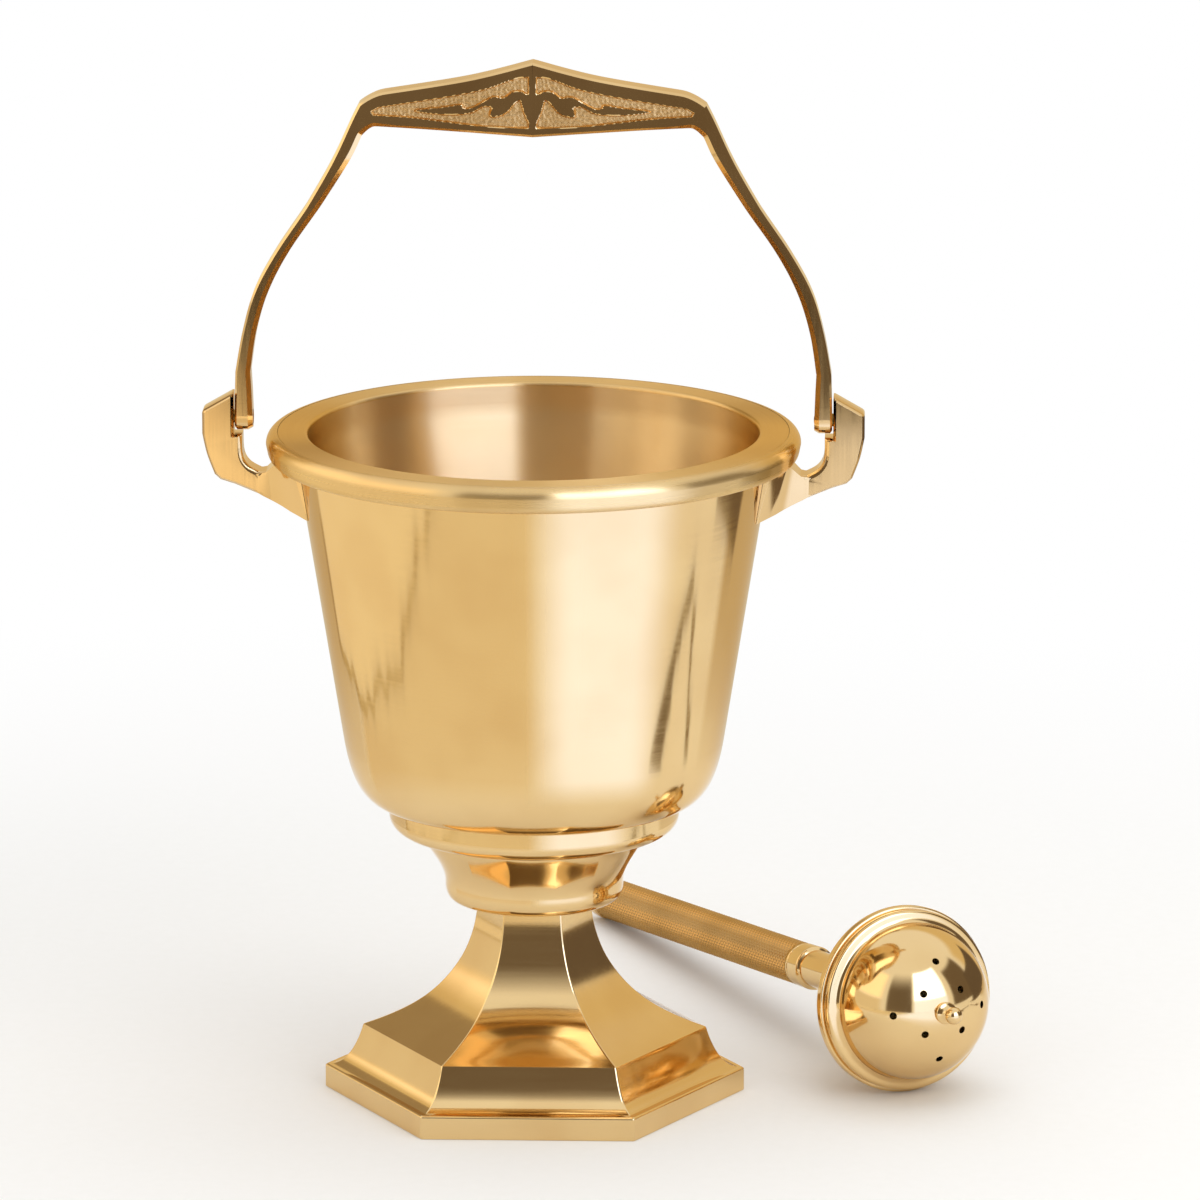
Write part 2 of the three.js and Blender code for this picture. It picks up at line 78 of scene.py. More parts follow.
# an open line with its corners eased: each point is [x, z] or [x, z, radius]
def eased(points, steps=5):
    line = []
    for i, point in enumerate(points):
        here = np.array(point[:2], float)
        radius = point[2] if len(point) > 2 else 0
        if radius == 0 or i in (0, len(points) - 1):
            line.append(here)
            continue
        toward, onward = (np.array(points[k][:2], float) - here for k in (i - 1, i + 1))
        reach = min(radius, 0.45 * np.linalg.norm(toward), 0.45 * np.linalg.norm(onward))
        start = here + toward / np.linalg.norm(toward) * reach
        stop = here + onward / np.linalg.norm(onward) * reach
        for t in np.linspace(0, 1, steps + 1):
            line.append((1 - t) ** 2 * start + 2 * (1 - t) * t * here + t * t * stop)
    return np.array(line)


def chain(*parts):
    return np.concatenate([np.array([p[:2] for p in part], float) for part in parts])


# a closed outline moved inwards, by its own width along each edge
def inset(outline, widths):
    count = len(outline)
    moved = []
    for i in range(count):
        before = outline[i] - outline[i - 1]
        after = outline[(i + 1) % count] - outline[i]
        n1 = np.array([-before[1], before[0]]) / (np.linalg.norm(before) + 1e-9)
        n2 = np.array([-after[1], after[0]]) / (np.linalg.norm(after) + 1e-9)
        w1, w2 = widths[i - 1], widths[i]
        cross = n1[0] * n2[1] - n1[1] * n2[0]
        if abs(cross) > 0.25:
            step = np.array([w1 * n2[1] - w2 * n1[1], w2 * n1[0] - w1 * n2[0]]) / cross
        else:  # nearly straight on
            mean = n1 + n2
            step = mean / (mean @ mean) * (w1 + w2)
        moved.append(outline[i] + step)
    return np.array(moved)


# Meshes

def newObject(name, data):
    made = bpy.data.objects.new(name, data)
    scene.collection.objects.link(made)
    return made


def newMesh(name, points, faces):
    mesh = bpy.data.meshes.new(name)
    mesh.from_pydata(points, [], faces)
    return mesh


# makes a piece from millimetre points, eases its shading and hands it to its body
def addPiece(name, points, faces, looks, body, slot, replaced, sharp=32, place=None, lookOfFace=None,
             weighted=True):
    own = np.array(points, float)
    mesh = newMesh(name, (own * mm).tolist(), faces)
    ownPlace = mesh.attributes.new("ownPlace", "FLOAT_VECTOR", "POINT")  # stays in mm along the piece's own axis
    ownPlace.data.foreach_set("vector", own.astype(np.float32).ravel())
    if place is not None:
        mesh.transform(place)
    for look in looks if isinstance(looks, list) else [looks]:
        mesh.materials.append(look)
    if lookOfFace is not None:
        mesh.polygons.foreach_set("material_index", np.array(lookOfFace, np.int32))
    mesh.polygons.foreach_set("use_smooth", [True] * len(mesh.polygons))
    mesh.set_sharp_from_angle(angle=math.radians(sharp))
    mesh.update()
    piece = newObject(name, mesh)
    if weighted:
        piece.modifiers.new("evenShading", "WEIGHTED_NORMAL").keep_sharp = True
    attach(piece, body)
    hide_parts(*replaced)
    return piece


# bevels a piece's edges by some millimetres, where its faces turn by more than the angle
def easeEdges(piece, width, angle):
    ease = piece.modifiers.new("easedEdges", "BEVEL")
    ease.width, ease.segments = width * mm, 2
    ease.limit_method, ease.angle_limit = "ANGLE", math.radians(angle)


# rings of points to faces; a ring of one point closes to a tip
def skin(rings, closed=False):
    points, starts = [], []
    for ring in rings:
        starts.append(len(points))
        points.extend(ring)
    faces = []
    pairs = list(zip(range(len(rings) - 1), range(1, len(rings))))
    if closed:
        pairs.append((len(rings) - 1, 0))
    for a, b in pairs:
        low, high = len(rings[a]), len(rings[b])
        count = max(low, high)
        for i in range(count):
            j = (i + 1) % count
            la, lb = starts[a] + (i if low > 1 else 0), starts[a] + (j if low > 1 else 0)
            ha, hb = starts[b] + (i if high > 1 else 0), starts[b] + (j if high > 1 else 0)
            if low > 1 and high > 1:
                faces.append((la, lb, hb, ha))
            else:
                faces.append((la, lb, ha) if low > 1 else (la, hb, ha))
    return points, faces


# the faces that close the first and the last of some rings
def endFaces(points, around):
    last = len(points)
    return [tuple(range(around)), tuple(range(last - 1, last - 1 - around, -1))]


# a turned piece: the [radius, height] line runs up its outside
def turned(line, sides=144, closed=False):
    angle = np.linspace(0, 2 * math.pi, sides, endpoint=False)
    rings = []
    for radius, height in line:
        if radius < 1e-4:
            rings.append([(0, 0, height)])
        else:
            ring = [radius * np.cos(angle), radius * np.sin(angle), np.full(sides, height)]
            rings.append(np.stack(ring, axis=1).tolist())
    return skin(rings, closed)


# a six-sided piece whose upright edges are eased; radii are measured to the corners
def sixSided(line, ease):
    rings = []
    for radius, height in line:
        if radius < 1e-4:
            rings.append([(0, 0, height)])
            continue
        ring = []
        for corner in range(6):
            turn = corner * math.pi / 3
            back = radius - ease / math.cos(math.pi / 6)
            for k in range(4):
                swing = turn + math.radians(-30 + 20 * k)
                x, y = (back * part(turn) + ease * part(swing) for part in (math.cos, math.sin))
                ring.append((x, y, height))
        rings.append(ring)
    return skin(rings)


# a flat casting: its outline in X and Z, with a bevel all round both faces
def flatCasting(outline, depth, widths, bevelDepth):
    inner = inset(outline, widths)
    half = depth / 2
    layers = [(inner, -half), (outline, -half + bevelDepth), (outline, half - bevelDepth), (inner, half)]
    points, faces = skin([[(x, y, z) for x, z in edge] for edge, y in layers])
    return points, [face[::-1] for face in faces] + endFaces(points, len(outline))


def mirrored(points, faces):
    return [(-x, y, z) for x, y, z in points], [face[::-1] for face in faces]


def together(*parts):
    points, faces = [], []
    for partPoints, partFaces in parts:
        offset = len(points)
        points.extend([tuple(p) for p in partPoints])
        faces.extend([tuple(offset + i for i in f) for f in partFaces])
    return points, faces


# Materials

def linear(hexColour):
    parts = [int(hexColour[i:i + 2], 16) / 255 for i in (1, 3, 5)]
    return tuple(p / 12.92 if p <= 0.04045 else ((p + 0.055) / 1.055) ** 2.4 for p in parts) + (1.0,)


# adds a node with its settings, and its sockets as values or as links from a socket or a whole node
def addNode(tree, kind, settings=None, sockets=None):
    node = tree.nodes.new("ShaderNode" + kind)
    for name, value in (settings or {}).items():
        setattr(node, name, value)
    for name, value in (sockets or {}).items():
        if isinstance(value, bpy.types.Node):
            value = value.outputs[0]
        if isinstance(value, bpy.types.NodeSocket):
            tree.links.new(value, node.inputs[name])
        else:
            node.inputs[name].default_value = value
    return node


def newMaterial(name):
    material = bpy.data.materials.new(name)
    material.use_nodes = True
    tree = material.node_tree
    tree.nodes.clear()
    return material, tree


# the spot on the piece in millimetres, so that patterns have their real size
def sizedSpot(tree):
    spot = addNode(tree, "TexCoord").outputs["Object"]
    return addNode(tree, "VectorMath", {"operation": "SCALE"}, {0: spot, "Scale": 1 / mm})


# Brass, an alloy of copper and zinc. Its colour is all in its reflection, so metallic is 1.
# Turned pieces carry rings from the lathe, worked pieces carry strokes along their length.
# Sizes, pitches and depths are in mm, and the strokes cross the axes that are True.
brassLook = {
    "colour": "#e8c78b", "tarnish": "#dbb577", "edge": "#f0d8a4", "clouding": 0.5, "cloudSize": 26,
    "roughness": (0.1, 0.16), "lacquer": 1.0, "lacquerRoughness": 0.05, "anisotropic": 0.0,
    "linePitch": 0.5, "lineStrength": 0.12, "lineDepth": 0.02, "ringDrift": 0.02, "strokeDrift": 0.04,
    "waveSize": 9, "waveStrength": 0.2, "waveDepth": 0.03,
    "turned": True, "strokes": (True, False, True), "ownPlace": True,
}


def brass(name, look):
    material, tree = newMaterial(name)
    if look["ownPlace"]:
        size = addNode(tree, "Attribute", {"attribute_name": "ownPlace"}).outputs["Vector"]
    else:
        size = sizedSpot(tree)
    pitch = look["linePitch"]
    if look["turned"]:
        x, y, z = addNode(tree, "SeparateXYZ", {}, {0: size}).outputs
        flat = addNode(tree, "CombineXYZ", {}, {"X": x, "Y": y})
        radius = addNode(tree, "VectorMath", {"operation": "LENGTH"}, {0: flat}).outputs["Value"]
        across = addNode(tree, "Math", {"operation": "ADD"}, {0: radius, 1: z})
        drift = {"operation": "MULTIPLY"}
        lineSpace = addNode(tree, "CombineXYZ", {}, {
            "X": addNode(tree, "Math", drift, {0: x, 1: look["ringDrift"]}),
            "Y": addNode(tree, "Math", drift, {0: y, 1: look["ringDrift"]}),
            "Z": addNode(tree, "Math", {"operation": "DIVIDE"}, {0: across, 1: pitch}),
        })
    else:
        scales = [1 / pitch if crossed else look["strokeDrift"] for crossed in look["strokes"]]
        lineSpace = addNode(tree, "VectorMath", {"operation": "MULTIPLY"}, {0: size, 1: scales})
    lines = addNode(tree, "TexNoise", {}, {"Vector": lineSpace, "Scale": 1.0, "Detail": 3.0, "Roughness": 0.6})
    cloud = addNode(tree, "TexNoise", {}, {"Vector": size, "Scale": 1 / look["cloudSize"], "Detail": 2.0})
    wave = addNode(tree, "TexNoise", {}, {"Vector": size, "Scale": 1 / look["waveSize"], "Detail": 1.0})
    tint = addNode(tree, "MapRange", {"interpolation_type": "SMOOTHSTEP"}, {
        "Value": cloud.outputs["Fac"], "From Min": 0.35, "From Max": 0.7, "To Min": 0.0, "To Max": look["clouding"],
    })
    colour = addNode(tree, "Mix", {"data_type": "RGBA"}, {
        0: tint, 6: linear(look["colour"]), 7: linear(look["tarnish"]),
    })
    gloss = addNode(tree, "MapRange", {}, {
        "Value": lines.outputs["Fac"], "From Min": 0.3, "From Max": 0.7,
        "To Min": look["roughness"][0], "To Max": look["roughness"][1],
    })
    scratches = addNode(tree, "Bump", {}, {
        "Height": lines.outputs["Fac"], "Strength": look["lineStrength"], "Distance": look["lineDepth"] * mm,
    })
    uneven = addNode(tree, "Bump", {}, {
        "Height": wave.outputs["Fac"], "Strength": look["waveStrength"], "Distance": look["waveDepth"] * mm,
        "Normal": scratches,
    })
    sockets = {
        "Base Color": colour.outputs[2], "Metallic": 1.0, "Roughness": gloss,
        "Normal": uneven, "Specular Tint": linear(look["edge"]),
        "Coat Weight": look["lacquer"], "Coat Roughness": look["lacquerRoughness"],
        "Anisotropic": look["anisotropic"], "Anisotropic Rotation": 0.25,  # across the rings
    }
    if look["anisotropic"] > 0:
        sockets["Tangent"] = addNode(tree, "Tangent", {"direction_type": "RADIAL", "axis": "Z"})
    shader = addNode(tree, "BsdfPrincipled", {}, sockets)
    addNode(tree, "OutputMaterial", {}, {"Surface": shader})
    return material


# Turned on a lathe, buffed and lacquered: clear reflections, drawn out a little along the axis
polishedBrass = brass("turnedPolishedBrass", {**brassLook, "anisotropic": 0.8, "roughness": (0.07, 0.12)})
# The rim's bead, rubbed round with fine emery on the lathe: soft highlights with crisp ends
rimBrass = brass("emeryRubbedBrass", {
    **brassLook, "anisotropic": 1.0, "roughness": (0.26, 0.32), "lineStrength": 0.06, "lacquer": 0.4,
})
# The sprinkler's turned pieces: small, buffed on a wheel and clear as a mirror
smallBrass = brass("wheelBuffedBrass", {**brassLook, "roughness": (0.07, 0.12), "waveSize": 6, "waveDepth": 0.02})
# Cast and buffed by hand on flat faces: sharp reflections that waver
facetBrass = brass("castPolishedBrass", {
    **brassLook, "turned": False, "roughness": (0.09, 0.15), "waveSize": 11, "waveDepth": 0.08, "linePitch": 0.9,
    "strokes": (False, True, True),
})
# The bail and the lugs: cast, filed along their length and polished, a little browner
castBrass = brass("castFiledBrass", {
    **brassLook, "turned": False, "colour": "#e4c083", "tarnish": "#cfa767", "roughness": (0.06, 0.1),
    "linePitch": 0.6, "lineStrength": 0.04, "strokes": (True, True, False), "waveSize": 7, "waveDepth": 0.02,
})
# Brushed on the lathe: fine rings that smear each reflection into a soft band
satinLook = {
    **brassLook, "colour": "#eccf9b", "tarnish": "#dfbf88", "roughness": (0.28, 0.34), "anisotropic": 1.0,
    "linePitch": 0.8, "lineStrength": 0.45, "lacquer": 0.3,  # rings drawn coarser than the real 0.3 mm
}
satinBrass = brass("latheBrushedBrass", satinLook)
# The same finish on the liner's flange, in a deeper colour than the inside
flangeBrass = brass("deeperBrushedBrass", {**satinLook, "colour": "#e8c486", "tarnish": "#d9b373"})
# Struck all over with a small punch, so that it scatters the light
stippledBrass = brass("punchStippledBrass", {
    **brassLook, "turned": False, "colour": "#cfa76b", "tarnish": "#bb9052", "roughness": (0.4, 0.5),
    "lacquer": 0.3, "linePitch": 0.4, "lineStrength": 0.3, "strokes": (True, True, True),
})
# Rolled with a diamond knurl: a darker, duller brass all over, its darkness painted shade of the grooves
knurlBrass = brass("knurledBrass", {
    **brassLook, "colour": "#ba9157", "tarnish": "#a07a43", "roughness": (0.2, 0.3), "lacquer": 0.2,
})
# As it left the lathe, never polished: grey-brown and dull
plainBrass = brass("unpolishedBrass", {
    **brassLook, "colour": "#c2964f", "tarnish": "#94703a", "clouding": 0.8, "roughness": (0.3, 0.45),
    "lineStrength": 0.4, "lacquer": 0.0, "ownPlace": False,
})


# gives a soft material its two colours and its bumps, after a pattern of its own; depths are in mm
def softMaterial(material, tree, look, pattern):
    colour = addNode(tree, "Mix", {"data_type": "RGBA"}, {
        0: pattern, 6: linear(look["low"]), 7: linear(look["high"]),
    })
    bump = addNode(tree, "Bump", {}, {
        "Height": pattern, "Strength": look["strength"], "Distance": look["depth"] * mm,
    })
    shader = addNode(tree, "BsdfPrincipled", {}, {
        "Base Color": colour.outputs[2], "Roughness": 0.95, "Sheen Weight": look["sheen"], "Normal": bump,
    })
    addNode(tree, "OutputMaterial", {}, {"Surface": shader})
    return material


# Pressed wool felt: short fibres that lie all ways, matt, with a soft edge of light
feltLook = {"low": "#5d3a2a", "high": "#7d5542", "fibre": 0.25, "depth": 0.12, "strength": 0.8, "sheen": 0.4}


def pressedFelt():
    material, tree = newMaterial("pressedWoolFelt")
    fibres = addNode(tree, "TexNoise", {}, {
        "Vector": sizedSpot(tree), "Scale": 1 / feltLook["fibre"], "Detail": 6.0, "Roughness": 0.75,
        "Distortion": 1.5,
    }).outputs["Fac"]
    return softMaterial(material, tree, feltLook, fibres)


# Open-cell foam: round pores of about a millimetre, their hollows darkened with painted shade
foamLook = {"low": "#8d7638", "high": "#d9c27a", "pore": 1.1, "depth": 0.4, "strength": 0.9, "sheen": 0.15}


def openCellFoam():
    material, tree = newMaterial("openCellFoam")
    pores = addNode(tree, "TexVoronoi", {}, {"Vector": sizedSpot(tree), "Scale": 1 / foamLook["pore"]})
    # the pores' hollows take the darker colour: painted shade, drawn by the same pattern as their dents
    wall = addNode(tree, "MapRange", {"interpolation_type": "SMOOTHSTEP"}, {
        "Value": pores.outputs["Distance"], "From Min": 0.15, "From Max": 0.55,
    })
    return softMaterial(material, tree, foamLook, wall)


felt = pressedFelt()
foam = openCellFoam()
print("materials made")


# The pot: bowl, liner, ring, collar, foot and felt pad, as [radius, height] lines

rodHole = 3.3  # radius of the hole for the tie rod

bowlLook = {
    "rim": 70, "rimTop": 179.3, "rimUnder": 172.4, "bead": 3,
    "wall": 62.2, "taper": 0.16, "thickness": 1.8,  # radius under the rim, and what it loses per mm down
    "seat": 67.3, "seatDepth": 1.5, "base": 80.2, "floor": 82.2, "curveTop": 97, "sides": 192,
}


def wallAt(height):
    return bowlLook["wall"] - bowlLook["taper"] * (bowlLook["rimUnder"] - height)


def bowlLine():
    look = bowlLook
    rim, top, under, bead = look["rim"], look["rimTop"], look["rimUnder"], look["bead"]
    seat, step, base, floor = look["seat"], top - look["seatDepth"], look["base"], look["floor"]
    thick, curveTop = look["thickness"], look["curveTop"]
    outside = bezier((39.5, base), (45.8, base), (48.62, 87.5), (wallAt(curveTop), curveTop), 26)
    neck = eased([
        (wallAt(150), 150), (wallAt(under), under, 0.8), (rim - 1.5, under, 0.5),
        (rim - 0.55, under + 1.2, 1), (rim, top - bead),
    ])
    inside = eased([
        (rim - bead, top), (seat, top, 0.2), (seat, step), (wallAt(step) - thick - 0.9, step),
        (wallAt(168) - thick, 168), (wallAt(93) - thick, 93), (wallAt(93) - 9, 82.4),
        (38, floor), (rodHole, floor), (rodHole, base),
    ])
    roundBead = arc((rim - bead, top - bead), bead, 0, 90, 14)
    return chain([(rodHole, base)], outside, neck, roundBead[1:], inside[1:])


linerLook = {
    "mouth": 59, "mouthEase": 1.1, "flange": 67, "flangeDepth": 1.2, "flangeEase": 0.3,
    "thickness": 0.9, "gap": 0.45, "bottom": 91, "bottomEase": 5,
}


def linerLine():
    look = linerLook
    top, bottom, thick = bowlLook["rimTop"], look["bottom"], look["thickness"]
    mouth, flange, flangeUnder = look["mouth"], look["flange"], top - look["flangeDepth"]
    outsideAt = lambda height: wallAt(height) - bowlLook["thickness"] - look["gap"]
    insideAt = lambda height: outsideAt(height) - thick
    return eased([
        (0, bottom), (outsideAt(bottom), bottom, look["bottomEase"]), (outsideAt(171.4), 171.4),
        (mouth + thick, flangeUnder), (flange, flangeUnder), (flange, top, look["flangeEase"]),
        (mouth, top, look["mouthEase"]), (mouth - 0.1, 174), (insideAt(170.5), 170.5),
        (insideAt(bottom + thick), bottom + thick, look["bottomEase"]), (0, bottom + thick),
    ], 8)


ringLook = {
    "radius": 38.3, "top": 80.2, "foot": 71.2, "ease": 0.35,
    "underside": [(38.3, 76.1), (38.3, 73.6), (36.2, 71.9), (33.6, 71.9)],
}


def ringLine():
    top, foot, underside = ringLook["top"], ringLook["foot"], ringLook["underside"]
    edge = eased([underside[0], (ringLook["radius"], top, ringLook["ease"]), (36, top)])
    return chain(
        [(rodHole, foot), (31, foot), (31.4, 71.9)], bezier(*underside, 12)[::-1], edge,
        [(rodHole, top), (rodHole, foot)],
    )


collarLook = {
    "foot": 53, "top": 71.2,
    "roundFoot": [(20.4, 53), (22.6, 53), (23.5, 54.3), (23.6, 57.3)],
    "hollowSide": [(23.6, 57.3), (23.33, 62.02), (28.43, 67.27), (30.1, 70.8)],
}


def collarLine():
    foot, top = collarLook["foot"], collarLook["top"]
    return chain(
        [(rodHole, foot)], bezier(*collarLook["roundFoot"], 10), bezier(*collarLook["hollowSide"], 26)[1:],
        [(30.1, top), (rodHole, top), (rodHole, foot)],
    )


# the foot's radii run to its corners
footLook = {
    "cornerEase": 0.7,
    "plinth": [(52.3, 0), (55.8, 0, 0.35), (55.8, 6, 0.5), (55.2, 6.35)],
    "cove": [(55.2, 6.35), (50.2, 5.6), (47.1, 12.4), (45.8, 16.9)],
    "sweep": [
        (45.55, 17.35), (41.1, 19), (36.55, 21), (32.37, 23.2), (28.27, 26), (24.47, 29.5), (21.22, 33.5),
        (18.52, 38), (16.61, 43), (15.58, 47.5), (15, 52.6),
    ],
    "hollow": [
        (8, 53), (8, 36), (14, 36), (16.5, 30), (22, 24.5), (30, 19.5), (39, 15.5), (43.4, 12), (46, 7.5),
        (49.5, 1.5), (52.3, 1.5), (52.3, 0),
    ],
}


def footLine():
    look = footLook
    sweep = smoothLine(look["sweep"], 50)
    return chain(eased(look["plinth"]), bezier(*look["cove"], 16)[1:], sweep, [(15.5, 53)], look["hollow"])


padLook = {"cornerEase": 1.5, "line": [(0, 0), (52, 0, 0.4), (52, 1.5, 0.5), (0, 1.5)]}


# which faces of a turned piece lie wholly above a height
def facesAbove(turnedPiece, height):
    points, faces = turnedPiece
    return [int(min(points[i][2] for i in face) > height) for face in faces]


def makePot():
    bowl, liner = turned(bowlLine(), bowlLook["sides"]), turned(linerLine(), bowlLook["sides"])
    onBead = facesAbove(bowl, bowlLook["rimUnder"] + 0.1)
    onFlange = facesAbove(liner, bowlLook["rimTop"] - 1.3)
    addPiece("turnedBowl", *bowl, [polishedBrass, rimBrass], "pot", "polished_brass", ["bowl"],
             lookOfFace=onBead)
    addPiece("liftOutLiner", *liner, [satinBrass, flangeBrass], "liner", "satin_brass", ["liner"],
             lookOfFace=onFlange)
    addPiece("ringMoulding", *turned(ringLine()), polishedBrass, "pot", "polished_brass", ["ring_moulding"])
    addPiece("hollowCollar", *turned(collarLine()), polishedBrass, "pot", "polished_brass", ["collar"])
    foot = sixSided(footLine(), footLook["cornerEase"])
    addPiece("sixSidedFoot", *foot, facetBrass, "pot", "polished_brass", ["foot"])
    pad = addPiece("feltFootPad", *sixSided(eased(padLook["line"]), padLook["cornerEase"]), felt,
                   "pot", "felt", ["foot_pad"])


makePot()
print("pot made")


# The bail, with its sunk and stippled fields

bailLook = {
    "depth": 7.0, "outerBevel": 0.55, "armBevel": 1.25, "gripBevel": 0.7, "bevelDepth": 0.7,
    "pivot": 182.5, "pinHole": 2.0, "footTop": 186.5, "footInside": 73.4, "footOutside": 78.1,
    "recess": 0.7, "slope": 0.35, "stipplePitch": 0.95, "stippleDepth": 0.11,
    "cornerPasses": 60, "gripColumns": 170, "bendColumns": 26, "armColumns": 64, "rows": 72,
}

# the wave and leaf on the grip's right half, in X and Z
waveMotif = [
    (0, 269.2), (1.56, 269.0), (2.98, 269.7), (5.19, 269.5), (7.37, 268.0), (9.91, 268.2), (12.09, 267.3),
    (14.64, 265.8), (16.66, 265.05), (18.11, 265.4), (18.68, 266.1), (23.1, 265.4), (30.4, 264.5),
    (24.9, 263.7), (19.5, 263.6), (15.8, 264.1), (13.2, 265.6), (11.7, 265.8), (10.6, 265.3), (11.0, 263.2),
    (8.8, 263.2), (6.6, 264.3), (4.8, 266.4), (3.4, 267.5), (3.0, 267.1), (2.3, 264.5), (1.2, 261.9),
    (0.6, 260.4), (0, 260.2),
]


# outer and inner edge of the bail's right half, from the middle of the grip down to its foot
def bailEdges():
    grip, bend, arm = bailLook["gripColumns"], bailLook["bendColumns"], bailLook["armColumns"]
    corner, elbow, innerElbow, innerCorner = (40.2, 269), (50.6, 253.6), (45.9, 253.6), (41.7, 260.3)
    roof = smoothLine([(0, 277.2), (16.8, 272.9), corner], grip)
    shoulder = smoothLine([corner, (44.4, 266.9), (46.6, 263.8), elbow], bend)
    outerArm = smoothLine(
        [elbow, (58.2, 240.4), (67, 227.2), (72.7, 216.6), (75.8, 205.9), (77.8, 195)], arm)
    belly = smoothLine([innerCorner, (26, 259.4), (0, 257.6)], grip)[::-1]
    innerBend = smoothLine([innerElbow, (44.6, 257.7), innerCorner], bend)[::-1]
    innerArm = smoothLine(
        [(73.9, 195), (72.2, 205.9), (68.9, 216.6), (63.4, 227.2), (54.3, 240.4), innerElbow], arm)[::-1]
    end = bailLook["footTop"]
    outer = chain(roof, shoulder[1:], outerArm[1:], [(77.95, 190), (78.04, end)])
    inner = chain(belly, innerBend[1:], innerArm[1:], [(73.65, 190), (73.52, end)])
    for line in (outer, inner):
        for corner in (grip, grip + bend):
            near = slice(corner - 14, corner + 15)
            for _ in range(bailLook["cornerPasses"]):
                line[near][1:-1] = (line[near][:-2] + 2 * line[near][1:-1] + line[near][2:]) / 4
    return outer, inner


# how deep each point lies in an outline, in mm, and below 0 outside it
def depthInside(points, outline):
    a = np.array(outline, float)
    b = np.roll(a, -1, axis=0)
    nearest = np.full(len(points), 1e9)
    crossings = np.zeros(len(points), int)
    for p, q in zip(a, b):
        edge = q - p
        along = np.clip(((points - p) @ edge) / (edge @ edge + 1e-12), 0, 1)
        nearest = np.minimum(nearest, np.linalg.norm(points - p - along[:, None] * edge, axis=1))
        spans = (p[1] > points[:, 1]) != (q[1] > points[:, 1])
        if p[1] != q[1]:
            crossings += spans & (points[:, 0] < edge[0] * (points[:, 1] - p[1]) / edge[1] + p[0])
    return np.where(crossings % 2 == 1, nearest, -nearest)


def easeStep(value):
    t = np.clip(value, 0, 1)
    return t * t * (3 - 2 * t)


# punch marks: round dents on a jittered grid
def punchMarks(points):
    pitch = bailLook["stipplePitch"]
    tile = 128
    cell = np.floor(points / pitch).astype(int)
    jitter = rng.rand(tile, tile, 2) * 0.7 + 0.15
    dent = np.zeros(len(points))
    for dx in (-1, 0, 1):
        for dz in (-1, 0, 1):
            near = cell + [dx, dz]
            centre = (near + jitter[near[:, 0] % tile, near[:, 1] % tile]) * pitch
            away = np.linalg.norm(points - centre, axis=1)
            dent = np.maximum(dent, 1 - (away / (0.62 * pitch)) ** 2)
    return dent * bailLook["stippleDepth"]


# sunk field of the grip: how deep each point lies below the frame, and which are on the ground
def reliefDepth(points):
    roof = smoothLine([(0.9, 273.6), (5, 272.9), (12.2, 270.3), (23, 268.1), (40, 265.4)], 40)
    floor = smoothLine([(37.6, 263), (30.4, 262.5), (12.2, 260.4), (0.9, 260)], 40)
    field = chain(roof, [(42, 264.3), (41.3, 263.2)], floor)
    folded = np.stack([np.abs(points[:, 0]), points[:, 1]], axis=1)
    motif = smoothLine(waveMotif, 4 * len(waveMotif))
    slope = bailLook["slope"]
    sunk = easeStep(depthInside(folded, field) / slope) * easeStep(-depthInside(folded, motif) / slope)
    ground = sunk > 0.93
    return bailLook["recess"] * sunk + np.where(ground, punchMarks(points), 0), sunk > 0.6


# the grip's front and back as fine grids between the two edges of the face, with the relief in them
def gripFaces(outerFace, innerFace):
    half, rows, wide = bailLook["depth"] / 2, bailLook["rows"] + 1, len(outerFace)
    share = np.linspace(0, 1, rows)[None, :, None]
    grid = (outerFace[:, None] * (1 - share) + innerFace[:, None] * share).reshape(-1, 2)
    depth, ground = reliefDepth(grid)
    points, faces, looks = [], [], []
    for side in (-1, 1):
        start = len(points)
        points.extend(np.stack([grid[:, 0], side * (half - depth), grid[:, 1]], axis=1).tolist())
        for c in range(wide - 1):
            for r in range(rows - 1):
                a, b = c * rows + r, c * rows + r + 1
                d, e = b + rows, a + rows
                quad = (a, b, d, e) if side < 0 else (e, d, b, a)
                faces.append(tuple(start + i for i in quad))
                looks.append(1 if ground[a] and ground[d] else 0)
    return points, faces, looks


